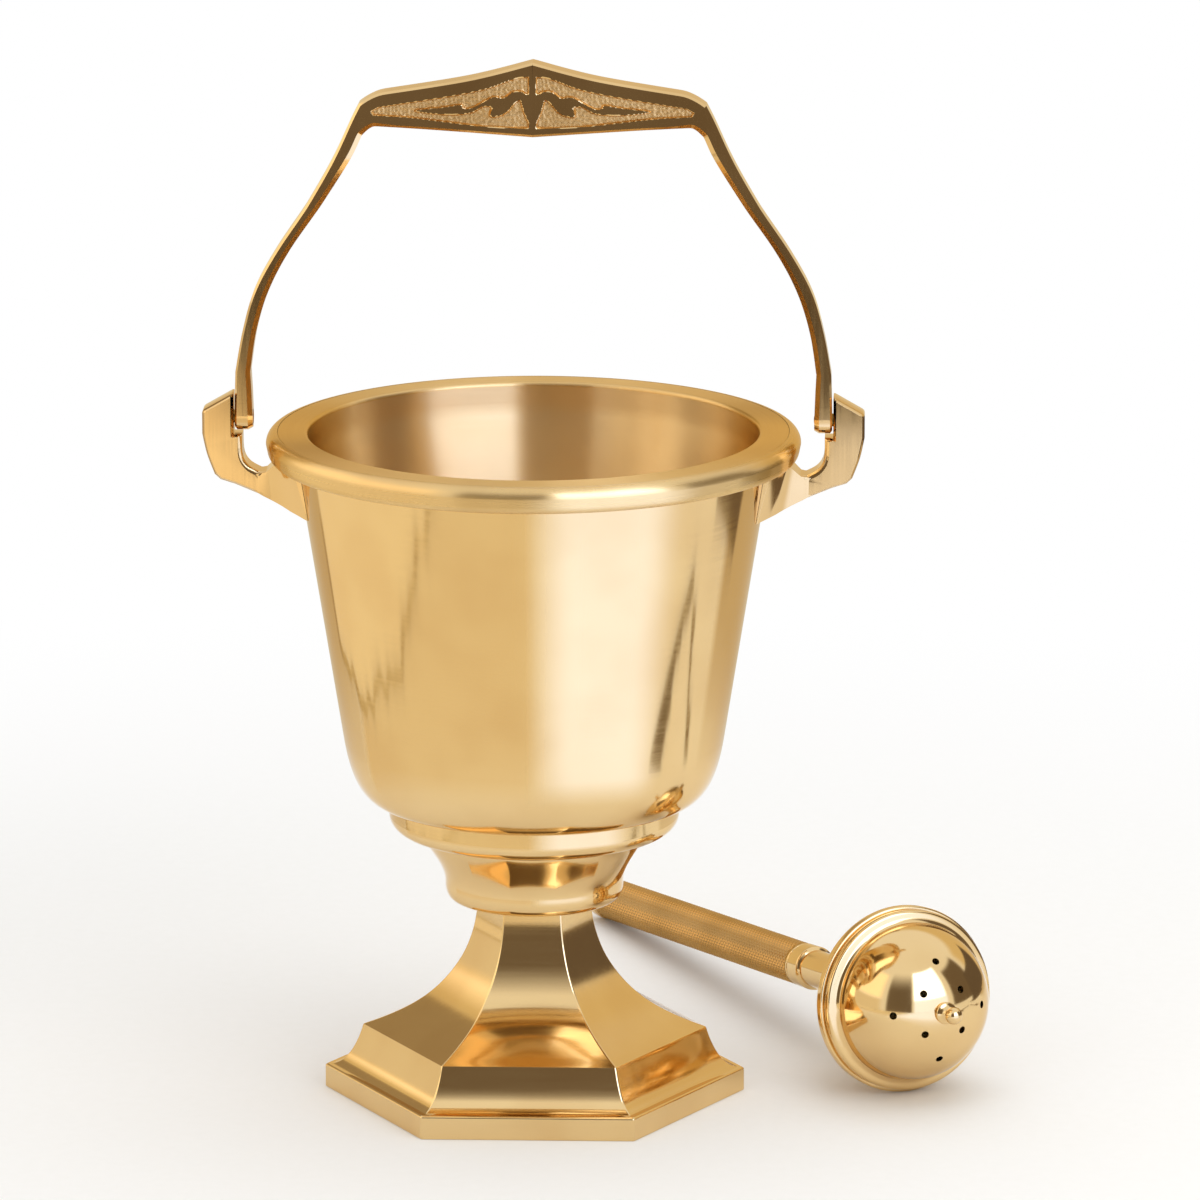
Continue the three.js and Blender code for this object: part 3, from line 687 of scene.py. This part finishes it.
def makeBail():
    outerHalf, innerHalf = bailEdges()
    flip = np.array([-1, 1])
    outer = np.concatenate([(outerHalf * flip)[:0:-1], outerHalf])
    inner = np.concatenate([(innerHalf * flip)[:0:-1], innerHalf])
    half, deep = bailLook["depth"] / 2, bailLook["bevelDepth"]

    def outward(line):
        along = np.gradient(line, axis=0)
        along /= np.linalg.norm(along, axis=1)[:, None]
        return np.stack([-along[:, 1], along[:, 0]], axis=1)

    toArm = easeStep((np.abs(inner[:, 0]) - 34) / 12)[:, None]  # the inner bevel widens past the grip
    innerWidth = bailLook["gripBevel"] + (bailLook["armBevel"] - bailLook["gripBevel"]) * toArm
    outerFace = outer - outward(outer) * bailLook["outerBevel"]
    innerFace = inner + outward(inner) * innerWidth
    section = [
        (outerFace, -half), (innerFace, -half), (inner, -half + deep), (inner, half - deep),
        (innerFace, half), (outerFace, half), (outer, half - deep), (outer, -half + deep),
    ]
    count, around = len(outer), len(section)
    points, sides = skin([[(edge[k][0], y, edge[k][1]) for edge, y in section] for k in range(count)])
    middle, wide = count // 2, bailLook["gripColumns"] + bailLook["bendColumns"]
    columns = slice(middle - wide, middle + wide + 1)
    inGrip = range(middle - wide, middle + wide)  # where its front and back come as grids
    faces = [face for i, face in enumerate(sides) if i % around not in (0, 4) or i // around not in inGrip]
    faces += endFaces(points, around)
    gripPoints, gripQuads, gripLooks = gripFaces(outerFace[columns], innerFace[columns])
    foot = bailFoot()
    looks = [0] * len(faces) + gripLooks + [0] * (2 * len(foot[1]))
    bail = together((points, faces), (gripPoints, gripQuads), foot, mirrored(*foot))
    addPiece("castBail", *bail, [castBrass, stippledBrass], "bail", "cast_brass", ["bail"],
             sharp=28, lookOfFace=looks, weighted=False)


# the right foot of the bail: an eye with a half-round end, pierced for the pin
def bailFoot():
    look = bailLook
    pivot, half, deep, hole = look["pivot"], look["depth"] / 2, look["bevelDepth"], look["pinHole"]
    inside, outside, rise = look["footInside"], look["footOutside"], look["footTop"] - look["pivot"]

    # straight sides above the pivot, half round below it and flat on top
    def eye(reach):
        side = [(reach, z) for z in np.linspace(rise, 0, 6)[:-1]]
        under = [(reach * math.cos(a), -reach * math.sin(a)) for a in np.linspace(0, math.pi, 33)]
        across = [(y, rise) for y in np.linspace(-reach, reach, 8)[1:-1]]
        return side + under + [(-y, z) for y, z in side[::-1]] + across

    def layer(ring, x, lean):
        return [(x + lean * z / rise if z > 0 else x, y, pivot + z) for y, z in ring]

    bore = [(hole * y / math.hypot(y, z), hole * z / math.hypot(y, z)) for y, z in eye(1)]
    leanIn, leanOut = 0.12, -0.06
    return skin([
        layer(bore, inside, leanIn), layer(eye(half - deep), inside, leanIn),
        layer(eye(half), inside + look["armBevel"], leanIn),
        layer(eye(half), outside - look["outerBevel"], leanOut),
        layer(eye(half - deep), outside, leanOut), layer(bore, outside, leanOut),
    ], closed=True)


makeBail()
print("bail made")


# Lugs and pins, made on the right and turned round for the left

lugLook = {
    "depth": 8.0, "bevel": 0.7, "bevelDepth": 0.9, "throatBevel": 1.3, "edgeEase": 0.3,
    "flare": 25.6, "low": 156.5, "high": 172.1, "curve": 14, "rows": 8,
    "pinAt": 73.35, "pinLine": [(0, -11.1), (1.7, -11.1, 0.3), (1.7, -0.35, 0.35), (0.9, 0.02, 0.5), (0, 0.08)],
}


def lugArm():
    back = smoothLine([(86.6, 178.5), (85.4, 173), (83.4, 167.6)], 10)
    throat = smoothLine([(71.5, 168.3), (74.4, 170), (76, 172.9), (76.2, 178.2)], 14)
    head = eased([(78.4, 178.2), (78.4, 189.3, 0.8), (86.6, 184.6, 0.8), (86.6, 178.5)])
    low = [(81.9, 166.2), (78.1, 165), (70.7, 161.9), (68, 160.7)]
    outline = chain([(68, 168.3)], throat, [(78.4, 178.2)], head[1:-1], back, low)[::-1]
    inThroat = [70 < x < 76.3 and z > 168 for x, z in outline]
    widths = np.where(inThroat, lugLook["throatBevel"], lugLook["bevel"])
    return flatCasting(outline, lugLook["depth"], widths, lugLook["bevelDepth"])


# the plate that flares from the arm on to the bowl's wall
def lugPlate():
    low, high, curve, rows = (lugLook[k] for k in ("low", "high", "curve", "rows"))
    half = lugLook["flare"] / 2
    lowEdge = smoothLine([(58.5, -half), (63.8, -6.9), (67.8, -4.7), (71.8, -4.02)], curve)
    highEdge = smoothLine([(62.6, -half), (66.3, -6.9), (69.1, -4.8), (72.2, -4.02)], curve)
    lowEdge, highEdge = (np.concatenate([edge, [(73.6, -3.5)]]) for edge in (lowEdge, highEdge))

    def bottomAt(x):
        return np.interp(x, [50, 58.5, 63.5, 70.7, 72, 74], [156.5, 157.3, 158.7, 161.95, 162.7, 163.9])

    def topAt(x):
        return np.interp(x, [50, 66.2, 70, 72, 74], [172.1, 172.1, 168.25, 167.9, 167.4])

    # the edge leans with its height, so its place is found in a few rounds
    def edgePoint(index, share):
        place = 0.5
        for _ in range(4):
            x = lowEdge[index][0] * (1 - place) + highEdge[index][0] * place
            z = bottomAt(x) * (1 - share) + topAt(x) * share
            place = (z - low) / (high - low)
        return x, lowEdge[index][1], z

    sections = []
    for r in range(rows + 1):
        front = [edgePoint(i, r / rows) for i in range(curve + 2)]
        z = front[0][2]
        line = [(math.sqrt((wallAt(z) + 0.05) ** 2 - half * half), -half, z)] + front
        sections.append(line + [(x, -y, zz) for x, y, zz in reversed(line)])
    points, faces = skin(sections)
    count = len(sections[0])
    top = rows * count
    for i in range(count // 2 - 1):  # the caps in strips from front to back, as they aren't flat
        a, b, c, d = i, i + 1, count - 2 - i, count - 1 - i
        faces.append((d, c, b, a))
        faces.append((top + a, top + b, top + c, top + d))
    return points, faces


def makeLugs():
    lug, pin = together(lugArm(), lugPlate()), turned(eased(lugLook["pinLine"]), 40)
    pinPlace = Matrix.Translation((lugLook["pinAt"] * mm, 0, bailLook["pivot"] * mm))
    for side, angle in (("right", 0), ("left", math.pi)):
        points = [tuple(Matrix.Rotation(angle, 3, "Z") @ Vector(p)) for p in lug[0]]
        piece = addPiece(side + "CastLug", points, lug[1], castBrass, "pot", "cast_brass", [side + "_lug"],
                         sharp=30, weighted=False)
        easeEdges(piece, lugLook["edgeEase"], 38)
        piece.modifiers.new("evenShading", "WEIGHTED_NORMAL").keep_sharp = False
        place = Matrix.Rotation(angle, 4, "Z") @ pinPlace @ Matrix.Rotation(-math.pi / 2, 4, "Y")
        addPiece(side + "PivotPin", *pin, plainBrass, "pot", "plain_brass", [side + "_pivot_pin"], place=place)


makeLugs()
print("lugs made")


# The sprinkler, made along its own axis, with 0 at the joint between the head's two halves

# where it lies: on its flange and its end cap
lyingLook = {"flangeRadius": 25, "flangeAt": -1.5, "capRadius": 6, "capAt": -190, "turn": -63.4, "spot": (98.4, 1.3)}


def lyingPlace():
    look = lyingLook
    tilt = math.atan((look["flangeRadius"] - look["capRadius"]) / (look["flangeAt"] - look["capAt"]))
    height = look["flangeRadius"] * math.cos(tilt) - look["flangeAt"] * math.sin(tilt)
    spin = Matrix.Rotation(math.radians(look["turn"]), 4, "Z") @ Matrix.Rotation(math.pi / 2 - tilt, 4, "Y")
    return Matrix.Translation((look["spot"][0] * mm, look["spot"][1] * mm, height * mm)) @ spin


domeLook = {
    "radius": 21, "centre": 2.6, "thickness": 1.2, "bead": 24.12, "screwHole": 1.6,
    "holeRadius": 1.0, "holes": 8, "innerHoles": 21.5, "outerHoles": 38.5,  # degrees from the axis
}


def domeShell():
    look = domeLook
    outer, inner, bore = look["radius"], look["radius"] - look["thickness"], look["screwHole"]
    middle, bead = (0, look["centre"]), look["bead"]
    tip = lambda radius: math.degrees(math.acos(bore / radius))
    flange = eased([
        (inner, 0.15), (bead, 0.15, 0.5), (bead, 2.5, 0.9), (21.9, 2.62, 0.6), (20.98, 3.3, 0.3),
        tuple(arc(middle, outer, 5, 6, 1)[0]),
    ])
    line = chain(flange[:-1], arc(middle, outer, 5, tip(outer), 72), arc(middle, inner, tip(inner), 0, 30))
    return turned(line, 160, closed=True)


# the drills of the two rings of holes, each through the shell
def domeDrills():
    look = domeLook
    start, stop = look["radius"] - 4, look["radius"] + 3
    drill = turned([(0, start), (look["holeRadius"], start), (look["holeRadius"], stop), (0, stop)], 28)
    drills = []
    for i in range(look["holes"]):
        tilt = math.radians(look["outerHoles"] if i % 2 else look["innerHoles"])
        spin = Matrix.Rotation((i + 1) * 2 * math.pi / look["holes"], 3, "Z") @ Matrix.Rotation(tilt, 3, "Y")
        drills.append(([tuple(spin @ Vector(p) + Vector((0, 0, look["centre"]))) for p in drill[0]], drill[1]))
    return together(*drills)


# the shell less the drills, cut exactly, back in millimetres
def drilledShell():
    def solid(name, points, faces):
        return newObject(name, newMesh(name, (np.array(points) * mm).tolist(), faces))

    shell, drills = solid("domeShell", *domeShell()), solid("holeDrills", *domeDrills())
    cut = shell.modifiers.new("sprinklingHoles", "BOOLEAN")
    cut.operation, cut.object, cut.solver = "DIFFERENCE", drills, "EXACT"
    bpy.context.view_layer.update()
    drilled = bpy.data.meshes.new_from_object(shell.evaluated_get(bpy.context.evaluated_depsgraph_get()))
    for spent in (shell, drills):
        bpy.data.objects.remove(spent)
    return [tuple(v.co / mm) for v in drilled.vertices], [tuple(p.vertices) for p in drilled.polygons]


def makeDome(place):
    piece = addPiece("sprinklerDome", *drilledShell(), smallBrass, "sprinkler_head", "polished_brass",
                     ["sprinkler_dome"], place=place, weighted=False)
    # the outside shades as a true sphere, also round the holes
    mesh = piece.data
    middle, radius = place @ Vector((0, 0, domeLook["centre"] * mm)), domeLook["radius"] * mm
    normals = [(0.0, 0.0, 0.0)] * len(mesh.loops)  # zero keeps the mesh's own
    for face in mesh.polygons:
        spoke = face.center - middle
        if abs(spoke.length - radius) < 0.05 * mm and face.normal.dot(spoke.normalized()) > 0.98:
            for loop in face.loop_indices:
                corner = mesh.vertices[mesh.loops[loop].vertex_index].co
                normals[loop] = tuple((corner - middle).normalized())
    mesh.normals_split_custom_set(normals)


finialLook = {"seat": 23.7, "ballCentre": 28.5, "ball": 2.3}


def finialLine():
    seat, centre, ball = finialLook["seat"], finialLook["ballCentre"], finialLook["ball"]
    stem = eased([
        (1.3, seat - 0.05), (2.9, seat - 0.05, 0.25), (3, seat + 0.75, 0.5), (1.9, seat + 1.35, 0.5),
        (1.2, seat + 2.2, 0.6), (1.22, 26.55),
    ])
    return chain(
        [(0, seat - 3), (1.3, seat - 3), (1.3, seat - 0.05)], stem[1:],
        arc((0, centre), ball, -58, 90, 22)[:-1], [(0, centre + ball)],
    )


cupLook = {
    "flange": 24.95, "back": [(8, -20), (17.5, -20), (20.4, -11), (20.8, -3.6)],
    "inside": [(19.5, 3.6), (18.4, 3.6), (18.4, -4), (16, -12), (12, -16.5), (8, -18.4), (3.3, -18.4)],
}


def cupLine():
    flange = cupLook["flange"]
    lip = eased([
        cupLook["back"][-1], (21.2, -2.9, 0.5), (flange, -2.9, 0.7), (flange, -0.15, 0.6), (19.5, -0.15),
    ])
    return chain([(3.3, -20)], bezier(*cupLook["back"], 24), lip[1:], cupLook["inside"])


ferruleLook = {
    "ring": [(3.9, -60.0), (6, -60.0, 0.4), (6, -54.3, 0.5), (5.1, -53.7, 0.4)],
    "neck": [(5.1, -53.3), (4.9, -40), (5.3, -28), (7.9, -20.35)],
}


def ferruleLine():
    return chain(
        [(0, -70), (3.8, -70), (3.9, -60.0)], eased(ferruleLook["ring"])[1:], bezier(*ferruleLook["neck"], 26),
        [(3.3, -20.3), (3.3, -34), (0, -34)],
    )


capLook = {
    "end": [(1.5, -192), (4.2, -192), (6, -191.2), (6, -189.6)],
    "plug": [(6, -189.6), (6, -186.8, 0.3), (3.9, -186.8), (3.9, -176.5), (0, -176.5)],
}


def capLine():
    return chain([(0, -192)], bezier(*capLook["end"], 10), eased(capLook["plug"])[1:])


handleLook = {
    "radius": 5.9, "front": -60.3, "back": -186.5, "socket": 4.2,
    "knurlPitch": 1.6, "knurlDepth": 0.4,  # a real one is nearer 1.2 mm, too fine to show
}


# fine diamonds: low points where two spirals of grooves cross, and a point between each four
def knurlGrid():
    radius, pitch = handleLook["radius"], handleLook["knurlPitch"]
    start, stop = handleLook["back"] + 0.8, handleLook["front"] - 0.8
    columns = 2 * round(2 * math.pi * radius / pitch)
    rows = 2 * round((stop - start) / pitch)
    points, faces = [], []
    for r in range(rows + 1):
        fade = min(1, r / 2, (rows - r) / 2)
        for c in range(columns):
            reach = radius - (handleLook["knurlDepth"] * fade if (r + c) % 2 == 0 else 0)
            angle = 2 * math.pi * c / columns
            points.append((reach * math.cos(angle), reach * math.sin(angle), start + (stop - start) * r / rows))
    for r in range(rows):
        for c in range(columns):
            a, b = r * columns + c, r * columns + (c + 1) % columns
            d, e = a + columns, b + columns
            faces.extend([(a, b, e), (a, e, d)] if (r + c) % 2 == 0 else [(a, b, d), (b, e, d)])
    return points, faces


def makeHandle(place):
    radius, front, back, socket = (handleLook[k] for k in ("radius", "front", "back", "socket"))
    knurl = knurlGrid()
    frontEnd = eased([(radius - 0.02, front - 0.8), (radius, front, 0.4), (socket, front), (socket, front - 5)])
    backEnd = eased([(socket, back + 5), (socket, back), (radius, back, 0.4), (radius - 0.02, back + 0.8)])
    points, faces = together(knurl, turned(frontEnd, 92), turned(backEnd, 92))
    onEnds = [i >= len(knurl[1]) for i in range(len(faces))]
    piece = addPiece("knurledHandle", points, faces, [knurlBrass, smallBrass], "sprinkler", "knurled_brass",
                     ["sprinkler_handle"], sharp=20, place=place, lookOfFace=onEnds, weighted=False)
    piece.data.polygons.foreach_set("use_smooth", onEnds)


# a soft block of foam with some 260 open cells pressed into it
spongeLook = {
    "line": [
        (0, -14.8), (8, -14.7), (12, -14), (15.4, -9), (16.8, -3), (16.9, 4), (15.4, 9.6), (11.4, 13.6),
        (6, 14.4), (0, 14.6),
    ],
    "cells": 260, "cellDepth": 0.9, "unevenness": 0.1,
}


def makeSponge(place):
    look = spongeLook
    points, faces = turned(smoothLine(look["line"], 64), 96)
    cells = rng.rand(look["cells"], 3) * [34, 34, 30] - [17, 17, 15]
    shaped = []
    for p in np.array(points):
        hollow = np.exp(-np.min(np.linalg.norm(cells - p, axis=1)) ** 2 / 0.9)
        sunk = look["cellDepth"] * hollow + look["unevenness"] * rng.rand()
        shaped.append(p - p / (np.linalg.norm(p) + 1e-6) * sunk)
    sponge = addPiece("foamSponge", shaped, faces, foam, "sprinkler", "sponge", ["sprinkler_sponge"],
                      sharp=60, place=place, weighted=False)


def makeSprinkler():
    place = lyingPlace()
    makeDome(place)
    makeHandle(place)
    turnedPieces = {
        "ballFinial": (turned(finialLine(), 64), "sprinkler_head", "sprinkler_finial"),
        "sprinklerCup": (turned(cupLine(), 160, closed=True), "sprinkler", "sprinkler_cup"),
        "turnedFerrule": (turned(ferruleLine(), 96), "sprinkler", "sprinkler_ferrule"),
        "roundedEndCap": (turned(capLine(), 72), "sprinkler", "sprinkler_end_cap"),
    }
    for name, (shape, body, node) in turnedPieces.items():
        addPiece(name, *shape, smallBrass, body, "polished_brass", [node], place=place)
    makeSponge(place)


makeSprinkler()
print("sprinkler made")


# Hardware inside the pot keeps its CAD shape, with eased edges

hardwareEase = 0.2  # mm
for nodeName in ("tie_rod", "foot_washer", "foot_nut", "bowl_washer", "bowl_nut", "right_lug_front_screw",
                 "right_lug_rear_screw", "left_lug_front_screw", "left_lug_rear_screw", "sprinkler_screw"):
    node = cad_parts[nodeName]
    node.data.materials.clear()
    node.data.materials.append(plainBrass)
    easeEdges(node, hardwareEase, 40)
print("hardware dressed")


# Floor, light and camera

stageLook = {
    "floor": "#f8f7f5", "floorGrain": "#f5f4f1", "grainPerMetre": 300.0, "worldLight": 0.7,
    "halfWidth": 15, "plainFrom": 0.2, "plainAt": 0.55,  # metres from the pot
}

# Glowing cards round the pot that only the polished metal sees: painted reflections of a room, set round the brass
# as a photographer sets cards. Each has the bearings of its sides in degrees from the front to the right, its near
# and far edge in metres, the shares over which its left, right, near and far edges fade, its colour, and its extras:
# stands: it is upright at this distance, and its two edges are heights
# narrow: other bearings for the near edge
# ragged: how far the right side wanders, in degrees
# wander: how far the near edge does, in metres, where that runs straight past the pot's side
# glow: its strength, if that isn't 1
cards = {
    "windowLow": ((11, 64), (0.0, 0.3), (0.03, 0.1, 0, 0), "#c8d8ff", {"stands": 1.0, "glow": 2.3}),
    "windowHigh": ((11, 62), (0.29, 1.5), (0.03, 0.1, 0, 0.1), "#c8d8ff", {"stands": 1.0, "glow": 4.7}),
    "darkCardFront": ((-32, 9), (0.0, 1.7), (0.08, 0.05, 0, 0.65), "#75695c", {"stands": 1.12}),
    "darkStandRight": ((98, 142), (0.0, 0.24), (0.1, 0.1, 0, 0.1), "#6d6156", {"stands": 0.55}),
    "darkRoomRight": ((68, 112), (0.05, 1.1), (0.08, 0.15, 0, 0.2), "#776a5c", {"stands": 1.05}),
    "roomLeft": ((-130, -36), (0.0, 0.3), (0.1, 0.1, 0, 0), "#f3e8d2", {"stands": 1.1}),
    "roomLeftHigh": ((-130, -36), (0.28, 1.4), (0.1, 0.1, 0.1, 0.2), "#fff0d8", {"stands": 1.1, "glow": 1.6}),
    "roomBack": ((110, 250), (0.0, 1.1), (0.1, 0.1, 0, 0.3), "#e9d5a8", {"stands": 1.15}),
    "brownPanelBack": ((-178, -133), (0.43, 0.86), (0.06, 0.06, 0.06, 0.1), "#a8977b", {"stands": 1.0}),
    "tableBack": ((112, 248), (0.2, 1.15), (0.03, 0.03, 0.2, 0), "#d6c6a8", {}),
    "tableLeft": ((-116, 8), (0.12, 0.88), (0.02, 0.1, 0.15, 0.1), "#f5e9d0", {}),
    "brightTable": ((-2, 82), (0.13, 0.92), (0.3, 0.32, 0.1, 0.04), "#cbd8ff", {"glow": 2.2}),
    "tableLeftFar": ((-60, 4), (0.66, 0.92), (0.2, 0.1, 0.2, 0.04), "#fff0d4", {"glow": 1.3}),
    "tableEdge": ((-60, 60), (0.93, 1.14), (0.1, 0.1, 0.03, 0), "#685f54", {}),
    "bailFeetDark": ((-9.5, 7.0), (0.8, 0.94), (0.01, 0.02, 0.15, 0), "#685f54", {"narrow": (-10.1, 7.7)}),
    "darkBoxRight": ((92, 128), (0.4, 0.62), (0.05, 0.05, 0.06, 0), "#76685a", {"narrow": (101, 123), "ragged": 0.8}),
    "darkWedgeRight": ((89, 91.5), (0.21, 0.345), (0.06, 0.2, 0.02, 0.02), "#7d6f60",
                       {"narrow": (70, 79), "ragged": 1.2}),
    "darkEdgeRight": ((90.5, 92.5), (0.225, 0.33), (0.2, 0.2, 0.1, 0.1), "#8d7d66",
                      {"narrow": (99, 103), "ragged": 1.2}),
    "clothShadowLeft": ((-131, -40), (0.26, 0.36), (0.02, 0.02, 0.03, 0), "#ae9c7c", {"wander": 0.007}),
    "clothLeft": ((-129, -42), (0.27, 0.64), (0.02, 0.02, 0.01, 0.3), "#fff4dc", {"glow": 1.02, "wander": 0.007}),
}
lowestCard, cardGap = 0.001, 0.0003  # metres: each lying card keeps a height of its own


# the uneven run of a torn or folded edge
def waver(t):
    return math.sin(9 * t) + 0.6 * math.sin(23 * t + 1) + 0.4 * math.sin(41 * t + 2)


# how solid a card is at a share of its side away from an edge
def fadeIn(share, soft):
    return easeStep(share / soft) if soft else 1.0


def makeCard(name, look, layer):
    bearings, (start, stop), (left, right, near, far), colour, extra = look
    farEnds, nearEnds = np.radians(bearings), np.radians(extra.get("narrow", bearings))
    ragged, wander, stands = math.radians(extra.get("ragged", 0)), extra.get("wander"), extra.get("stands")
    steps = 96 if wander else 48 if ragged else 24
    points, solid = [], []
    for i in range(steps + 1):
        u = i / steps
        for j in range(steps + 1):
            v = j / steps
            a, b = nearEnds + (farEnds - nearEnds) * v
            turn = a + (b - a) * u + ragged * u * waver(v)
            reach = start + (stop - start) * v
            if wander:
                reach = (reach + wander * waver(2 * u) * (1 - v)) / abs(math.sin(turn))
            distance, height = (stands, reach) if stands else (reach, lowestCard + cardGap * layer)
            points.append((distance * math.sin(turn), -distance * math.cos(turn), height))
            across = fadeIn(u, left) * fadeIn(1 - u, right)
            solid.append(float(across * fadeIn(v, near) * fadeIn(1 - v, far)))
    wide = steps + 1
    corners = [i * wide + j for i in range(steps) for j in range(steps)]
    mesh = newMesh(name, points, [(k, k + wide, k + wide + 1, k + 1) for k in corners])
    mesh.attributes.new("solid", "FLOAT", "POINT").data.foreach_set("value", solid)
    card = newObject(name, mesh)
    material, tree = newMaterial(name)
    # the card's painted reflection: it glows, lights nothing and shows only in the metal
    glow = addNode(tree, "Emission", {}, {"Color": linear(colour), "Strength": extra.get("glow", 1.0)})
    share = addNode(tree, "Attribute", {"attribute_name": "solid"}).outputs["Fac"]
    clear = addNode(tree, "BsdfTransparent")
    mix = addNode(tree, "MixShader", {}, {0: share, 1: clear, 2: glow})
    addNode(tree, "OutputMaterial", {}, {"Surface": mix})
    mesh.materials.append(material)
    for ray in ("camera", "diffuse", "transmission", "volume_scatter", "shadow"):
        setattr(card, "visible_" + ray, False)


# whether this ray is the camera's, or one that metal or glass sends on
def seenRay(tree):
    path = addNode(tree, "LightPath")
    seen = path.outputs["Is Camera Ray"]
    for ray in ("Is Glossy Ray", "Is Transmission Ray"):
        seen = addNode(tree, "Math", {"operation": "MAXIMUM"}, {0: seen, 1: path.outputs[ray]})
    return seen


# pale matt board that keeps the shadow near the pot and runs out to plain white further off
def makeFloor():
    look = stageLook
    far = look["halfWidth"]
    corners = [(-far, -far, 0), (far, -far, 0), (far, far, 0), (-far, far, 0)]
    floor = newObject("studioFloor", newMesh("studioFloor", corners, [(0, 1, 2, 3)]))
    material, tree = newMaterial("matPaleBoard")
    spot = addNode(tree, "TexCoord").outputs["Object"]
    grain = addNode(tree, "TexNoise", {}, {"Vector": spot, "Scale": look["grainPerMetre"], "Detail": 3.0})
    colour = addNode(tree, "Mix", {"data_type": "RGBA"}, {
        0: grain.outputs["Fac"], 6: linear(look["floor"]), 7: linear(look["floorGrain"]),
    })
    board = addNode(tree, "BsdfPrincipled", {}, {
        "Base Color": colour.outputs[2], "Roughness": 1.0, "Specular IOR Level": 0.0,
    })
    white = addNode(tree, "Emission", {}, {"Color": (1, 1, 1, 1), "Strength": 1.0})
    away = addNode(tree, "VectorMath", {"operation": "LENGTH"}, {0: spot}).outputs["Value"]
    plain = addNode(tree, "MapRange", {"interpolation_type": "SMOOTHSTEP"}, {
        "Value": away, "From Min": look["plainFrom"], "From Max": look["plainAt"],
    })
    share = addNode(tree, "Math", {"operation": "MULTIPLY"}, {0: plain, 1: seenRay(tree)})
    mix = addNode(tree, "MixShader", {}, {0: share, 1: board, 2: white})
    addNode(tree, "OutputMaterial", {}, {"Surface": mix})
    floor.data.materials.append(material)


# plain white to the camera and in the metal, and a little dimmer as light
def makeWorld():
    world = bpy.data.worlds.new("studioWorld")
    scene.world = world
    world.use_nodes = True
    tree = world.node_tree
    tree.nodes.clear()
    strength = addNode(tree, "MapRange", {}, {
        "Value": seenRay(tree), "To Min": stageLook["worldLight"], "To Max": 1.0,
    })
    sky = addNode(tree, "Background", {}, {"Color": (1, 1, 1, 1), "Strength": strength})
    addNode(tree, "OutputWorld", {}, {"Surface": sky})


lamps = {
    "overheadSoftbox": {"place": (0.05, 0.2, 2.1), "target": (0.05, 0.1, 0), "size": (2.4, 2.4), "power": 17},
    "windowSoftbox": {"place": (0.75, -0.92, 0.62), "target": (0, 0, 0.1), "size": (1.0, 0.9), "power": 5},
}


def makeLamp(name, look):
    light = bpy.data.lights.new(name, "AREA")
    light.shape, light.energy = "RECTANGLE", look["power"]
    light.size, light.size_y = look["size"]
    lamp = newObject(name, light)
    lamp.location = look["place"]
    lamp.rotation_euler = (Vector(look["target"]) - Vector(look["place"])).to_track_quat("-Z", "Y").to_euler()
    lamp.visible_glossy = False  # the cards stand in for it in the metal


# the lens and sensor in mm, and the angles down and to the left in degrees
cameraLook = {"lens": 274.1, "sensor": 36, "place": (0.0915, -2.3322, 0.696), "down": 13.55, "left": 1.82}


def makeCamera():
    look = cameraLook
    camera = bpy.data.cameras.new("photoCamera")
    camera.lens, camera.sensor_width = look["lens"], look["sensor"]
    camera.clip_start, camera.clip_end = 0.1, 50
    holder = newObject("photoCamera", camera)
    holder.location = look["place"]
    holder.rotation_euler = (math.radians(90 - look["down"]), 0, math.radians(look["left"]))
    scene.camera = holder


makeFloor()
makeWorld()
for lampName, lampLook in lamps.items():
    makeLamp(lampName, lampLook)
for layer, (cardName, cardLook) in enumerate(cards.items()):
    makeCard(cardName, cardLook, layer)
makeCamera()
scene.view_settings.view_transform = "Standard"
print("stage made")
